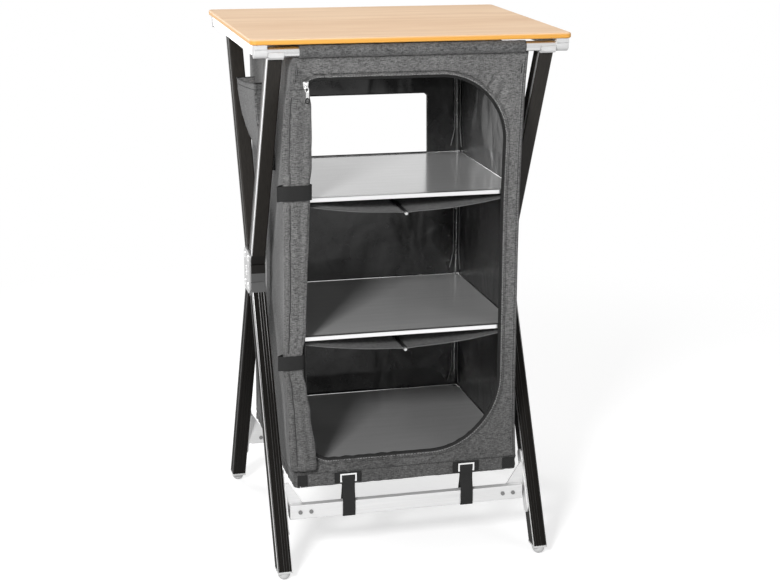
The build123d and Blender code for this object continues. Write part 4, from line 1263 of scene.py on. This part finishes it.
def pocket_place(side, u, v):
    z = pocket_low + v * (pocket_high - pocket_low)
    bulge = 0.004 + 0.034 * (1 - (1 - v) ** 2.6)
    y0 = pocket_front
    y1 = pivot_y + (z - 0.577) * math.tan(upper) - 0.016 / math.cos(upper) - 0.008
    radius = min(0.008, bulge * 0.6)
    span = y1 - y0
    run = u * (2 * bulge + span)
    if run < bulge:
        share = run / bulge
        x, y = share * bulge, y0 + radius * max(0.0, share - 0.4) ** 2
    elif run < bulge + span:
        share = (run - bulge) / span
        swell = 0.0035 * math.sin(math.pi * share) * (0.4 + 0.6 * v)
        x, y = bulge - swell * 0.6, y0 + share * span
        x += 0.0011 * fold_noise(y * 16, z * 10, 91.0 + side) * math.sin(math.pi * share)
        corner = min(share, 1 - share) * span
        if corner < radius:
            x -= (radius - corner) ** 2 / radius / 2
    else:
        share = (run - bulge - span) / bulge
        x, y = (1 - share) * bulge, y1
    dip = 0.003 * math.sin(math.pi * u) ** 2 * v ** 6
    rise = (0.017 - 0.02 * (y - y0) / span) * v ** 1.5
    return Vector((side * (half_width + 0.0006 + x), y, z - dip + rise))


def pocket_line(side, v, length=1.0):
    """Points across the pocket's cloth at one height, centred on its middle."""
    return [pocket_place(side, 0.5 + (step / 60 - 0.5) * length, v) for step in range(61)]


for side, hand in ((1, "right"), (-1, "left")):
    bm = mapped_grid(90, 40, pocket_place, side)
    face_towards(bm, 0, side)
    piece = finish_piece(f"{hand}_pocket", bm, [pocket_cloth, wall_cloth], "cabinet",
                         ["side_pockets"])
    thicken(piece, 0.0014, inside=1)
    flatten(piece)
    bm = bmesh.new()
    add_tube(bm, pocket_line(side, 1.0), 0.0016)
    seam = [point + Vector((side * 0.0004, 0, 0)) for point in pocket_line(side, 0.93, 0.985)]
    add_tube(bm, seam, 0.0006)
    add_tube(bm, pocket_line(side, 0.0), 0.0017)
    piece = finish_piece(f"{hand}_pocket_binding", bm, webbing, "cabinet")
    flatten(piece)

# %% [markdown]
# Four straps tie the hem to the lower bars. Each webbing loop hangs from a wire ring, goes
# round the bar and comes back up, and a black tab holds the ring to the hem.

# %% Hem straps and ring tabs
strap_gap, strap_width, tab_width, strap_places = 0.0016, 0.025, 0.027, (-0.120, 0.120)
for where_name, side, face_y in (("front", -1, hem_front), ("back", 1, hem_back)):
    straps, tabs = bmesh.new(), bmesh.new()
    ring_low, ring_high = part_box(f"{where_name}_strap_rings")
    ring_y = (ring_low.y + ring_high.y) / 2
    bar_low, bar_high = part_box(f"{where_name}_lower_bar")
    bar_y = (bar_low.y + bar_high.y) / 2
    front = bar_y + side * ((bar_high.y - bar_low.y) / 2 + strap_gap)
    rear = bar_y - side * ((bar_high.y - bar_low.y) / 2 + strap_gap)
    low, high = bar_low.z - strap_gap, bar_high.z + strap_gap
    strap_path = (
        (ring_y, ring_high.z - 0.0040), (ring_y + side * 0.0030, ring_high.z - 0.0046),
        (ring_y + side * 0.0036, ring_low.z + 0.001),
        (ring_y + side * 0.0026, ring_low.z - 0.014), (front, high + 0.001),
        (front, high - 0.003), (front + side * 0.0004, (low + high) / 2), (front, low + 0.003),
        (front, low), (front - side * 0.003, low), (bar_y, low), (rear + side * 0.003, low),
        (rear, low), (rear, low + 0.003), (rear, high - 0.003), (rear, high),
        (rear + side * 0.004, high + 0.012), (ring_y - side * 0.0025, ring_low.z - 0.004),
        (ring_y - side * 0.0026, ring_high.z - 0.0060))
    tab_path = [(face_y * side + side * 0.0008, z) for z in (0.1675, 0.1715, 0.176, 0.180)]
    tab_path += [(ring_y - side * 0.0016, ring_high.z - 0.0035),
                 (ring_y - side * 0.0016, ring_high.z - 0.001),
                 (ring_y - side * 0.0005, ring_high.z + 0.0014),
                 (face_y * side + side * 0.0012, 0.1885)]
    for x in strap_places:
        loop = path_points([(x, y, z) for y, z in strap_path], closed=True, steps=4)
        add_ribbon(straps, loop, (strap_width, 0, 0), 0.0011, closed=True)
        tab = path_points([(x, y, z) for y, z in tab_path], steps=4)
        add_ribbon(tabs, tab, (tab_width, 0, 0), 0.001)
    piece = finish_piece(f"{where_name}_hem_webbing", straps, webbing,
                         f"lower_{where_name}_frame", [f"{where_name}_hem_straps"])
    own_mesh(piece)
    finish_piece(f"{where_name}_ring_tabs", tabs, webbing, f"cabinet_{where_name}_panel")

# %% [markdown]
# Black patches strengthen the hem where the straps pull, and cover its lower corners. The
# zip tape's end is folded aside at the lower left of the opening.

# %% Hem patches and the end of the zip tape
bm = bmesh.new()
for x, wide in ((-0.120, 0.054), (0.120, 0.054), (0.2085, 0.025), (-0.2105, 0.020)):
    path = [Vector((x, -hem_front - 0.0012 - 0.0006 * (step % 2), 0.1662 + step * 0.0056))
            for step in range(5)]
    add_ribbon(bm, path, (wide, 0, 0), 0.0007)
finish_piece("hem_patches", bm, webbing, "cabinet_front_panel")
bm = bmesh.new()
path = [onto_front(x, z, 0.0022) for x, z in (
    (-0.221, 0.222), (-0.208, 0.2165), (-0.195, 0.213), (-0.182, 0.211))]
add_ribbon(bm, path, (0, 0, 0.011), 0.0014)
path = [onto_front(-0.2235, z, 0.0018) for z in (0.228, 0.216, 0.203, 0.196)]
add_ribbon(bm, path, (0.008, 0, 0), 0.0014)
finish_piece("zip_tape_end", bm, webbing, "cabinet_front_panel")

# %% [markdown]
# A seam with stitches beside it runs down the crease of the rolled door, between the ties.
# Its dark cord is partly the door's hem edge and partly painted shade deep in the crease.

# %% Seam of the rolled door
def roll_front(share, z):
    """Point on the front of the roll, at a share of its width."""
    left, right_edge = roll_at(z)[:2]
    x = left + share * (right_edge - left)
    return min((roll_point(0.885 + 0.0023 * step, z) for step in range(50)),
               key=lambda point: abs(point.x - x))


bm = bmesh.new()
path = [roll_point(1 - 0.14 * step / 24, 0.9445) + Vector((0, -0.0005, 0)) for step in range(25)]
add_tube(bm, path, 0.0006)
for low_z, high_z in ((0.768, 0.935), (0.437, 0.731), (0.212, 0.401)):
    heights = [low_z + step * 0.003 for step in range(int((high_z - low_z) / 0.003))]
    # Painted shade: the dark cord down the crease is partly the hem edge and partly the shade in
    # the fold.
    path = [roll_front(crease_at(z), z) + Vector((0, -0.0007, 0)) for z in heights]
    add_tube(bm, path, 0.0010)
    beside = [point + Vector((0.0042, -0.0006, 0)) for point in path]
    add_stitches(bm, beside, 0.0055, 0.0036, 0.0006)
finish_piece("roll_seams_and_crease_shade", bm, thread, "cabinet_front_panel")

# %% [markdown]
# Piping: the lining's back corners are bound with two shiny black cords. Their light grey
# colour is a painted highlight, standing in for the light they catch inside. They spread apart
# where they meet a board.

# %% Piping in the back corners
for side, hand in ((1, "right"), (-1, "left")):
    bm = bmesh.new()
    for low_z, high_z in ((0.745, 0.992), (0.475, 0.705), (0.215, 0.435)):
        for x_off, y_off, x_spread, y_spread in ((0.0055, 0.0165, 0.0, 0.010),
                                                 (0.0150, 0.0060, 0.008, 0.0)):
            path = []
            for step in range(22):
                z = low_z + (high_z - low_z) * step / 21
                spread = max(0.0, 1 - (z - low_z) / 0.035)
                wave = 0.0006 * fold_noise(z * 30, x_off * 400, 97.0)
                depth = depth_at(back_table, z) - y_off - y_spread * spread
                path.append(Vector((side * (half_width - x_off - x_spread * spread + wave),
                                    depth + wave, z)))
            add_tube(bm, path, 0.0010)
    piece = finish_piece(f"{hand}_lining_piping", bm, piping_painted_highlight, "cabinet")
    flatten(piece)

# %% [markdown]
# A thin raised cord of cloth runs down every corner of the cabinet and round the window.

# %% Corner seams
seam_x, seam_radius = 0.2225, 0.0012
seam_heights = [0.190 + step * 0.0135 for step in range(61)]
bm = bmesh.new()
for x in (-seam_x, seam_x):
    add_tube(bm, [onto_front(x, z, 0.0006) for z in seam_heights], seam_radius)
finish_piece("front_corner_seams", bm, cloth, "cabinet_front_panel")
bm = bmesh.new()
for x in (-seam_x, seam_x):
    add_tube(bm, [Vector((x, depth_at(back_table, z) - 0.0010, z)) for z in seam_heights],
             seam_radius)
around = spaced([(-0.157, 0.722), (0.157, 0.722), (0.157, 0.865), (-0.157, 0.865)], 0.008)
add_tube(bm, [Vector((x, depth_at(back_table, z) + 0.0008, z)) for x, z in around],
         seam_radius, closed=True)
finish_piece("back_corner_seams", bm, cloth, "cabinet_back_panel")
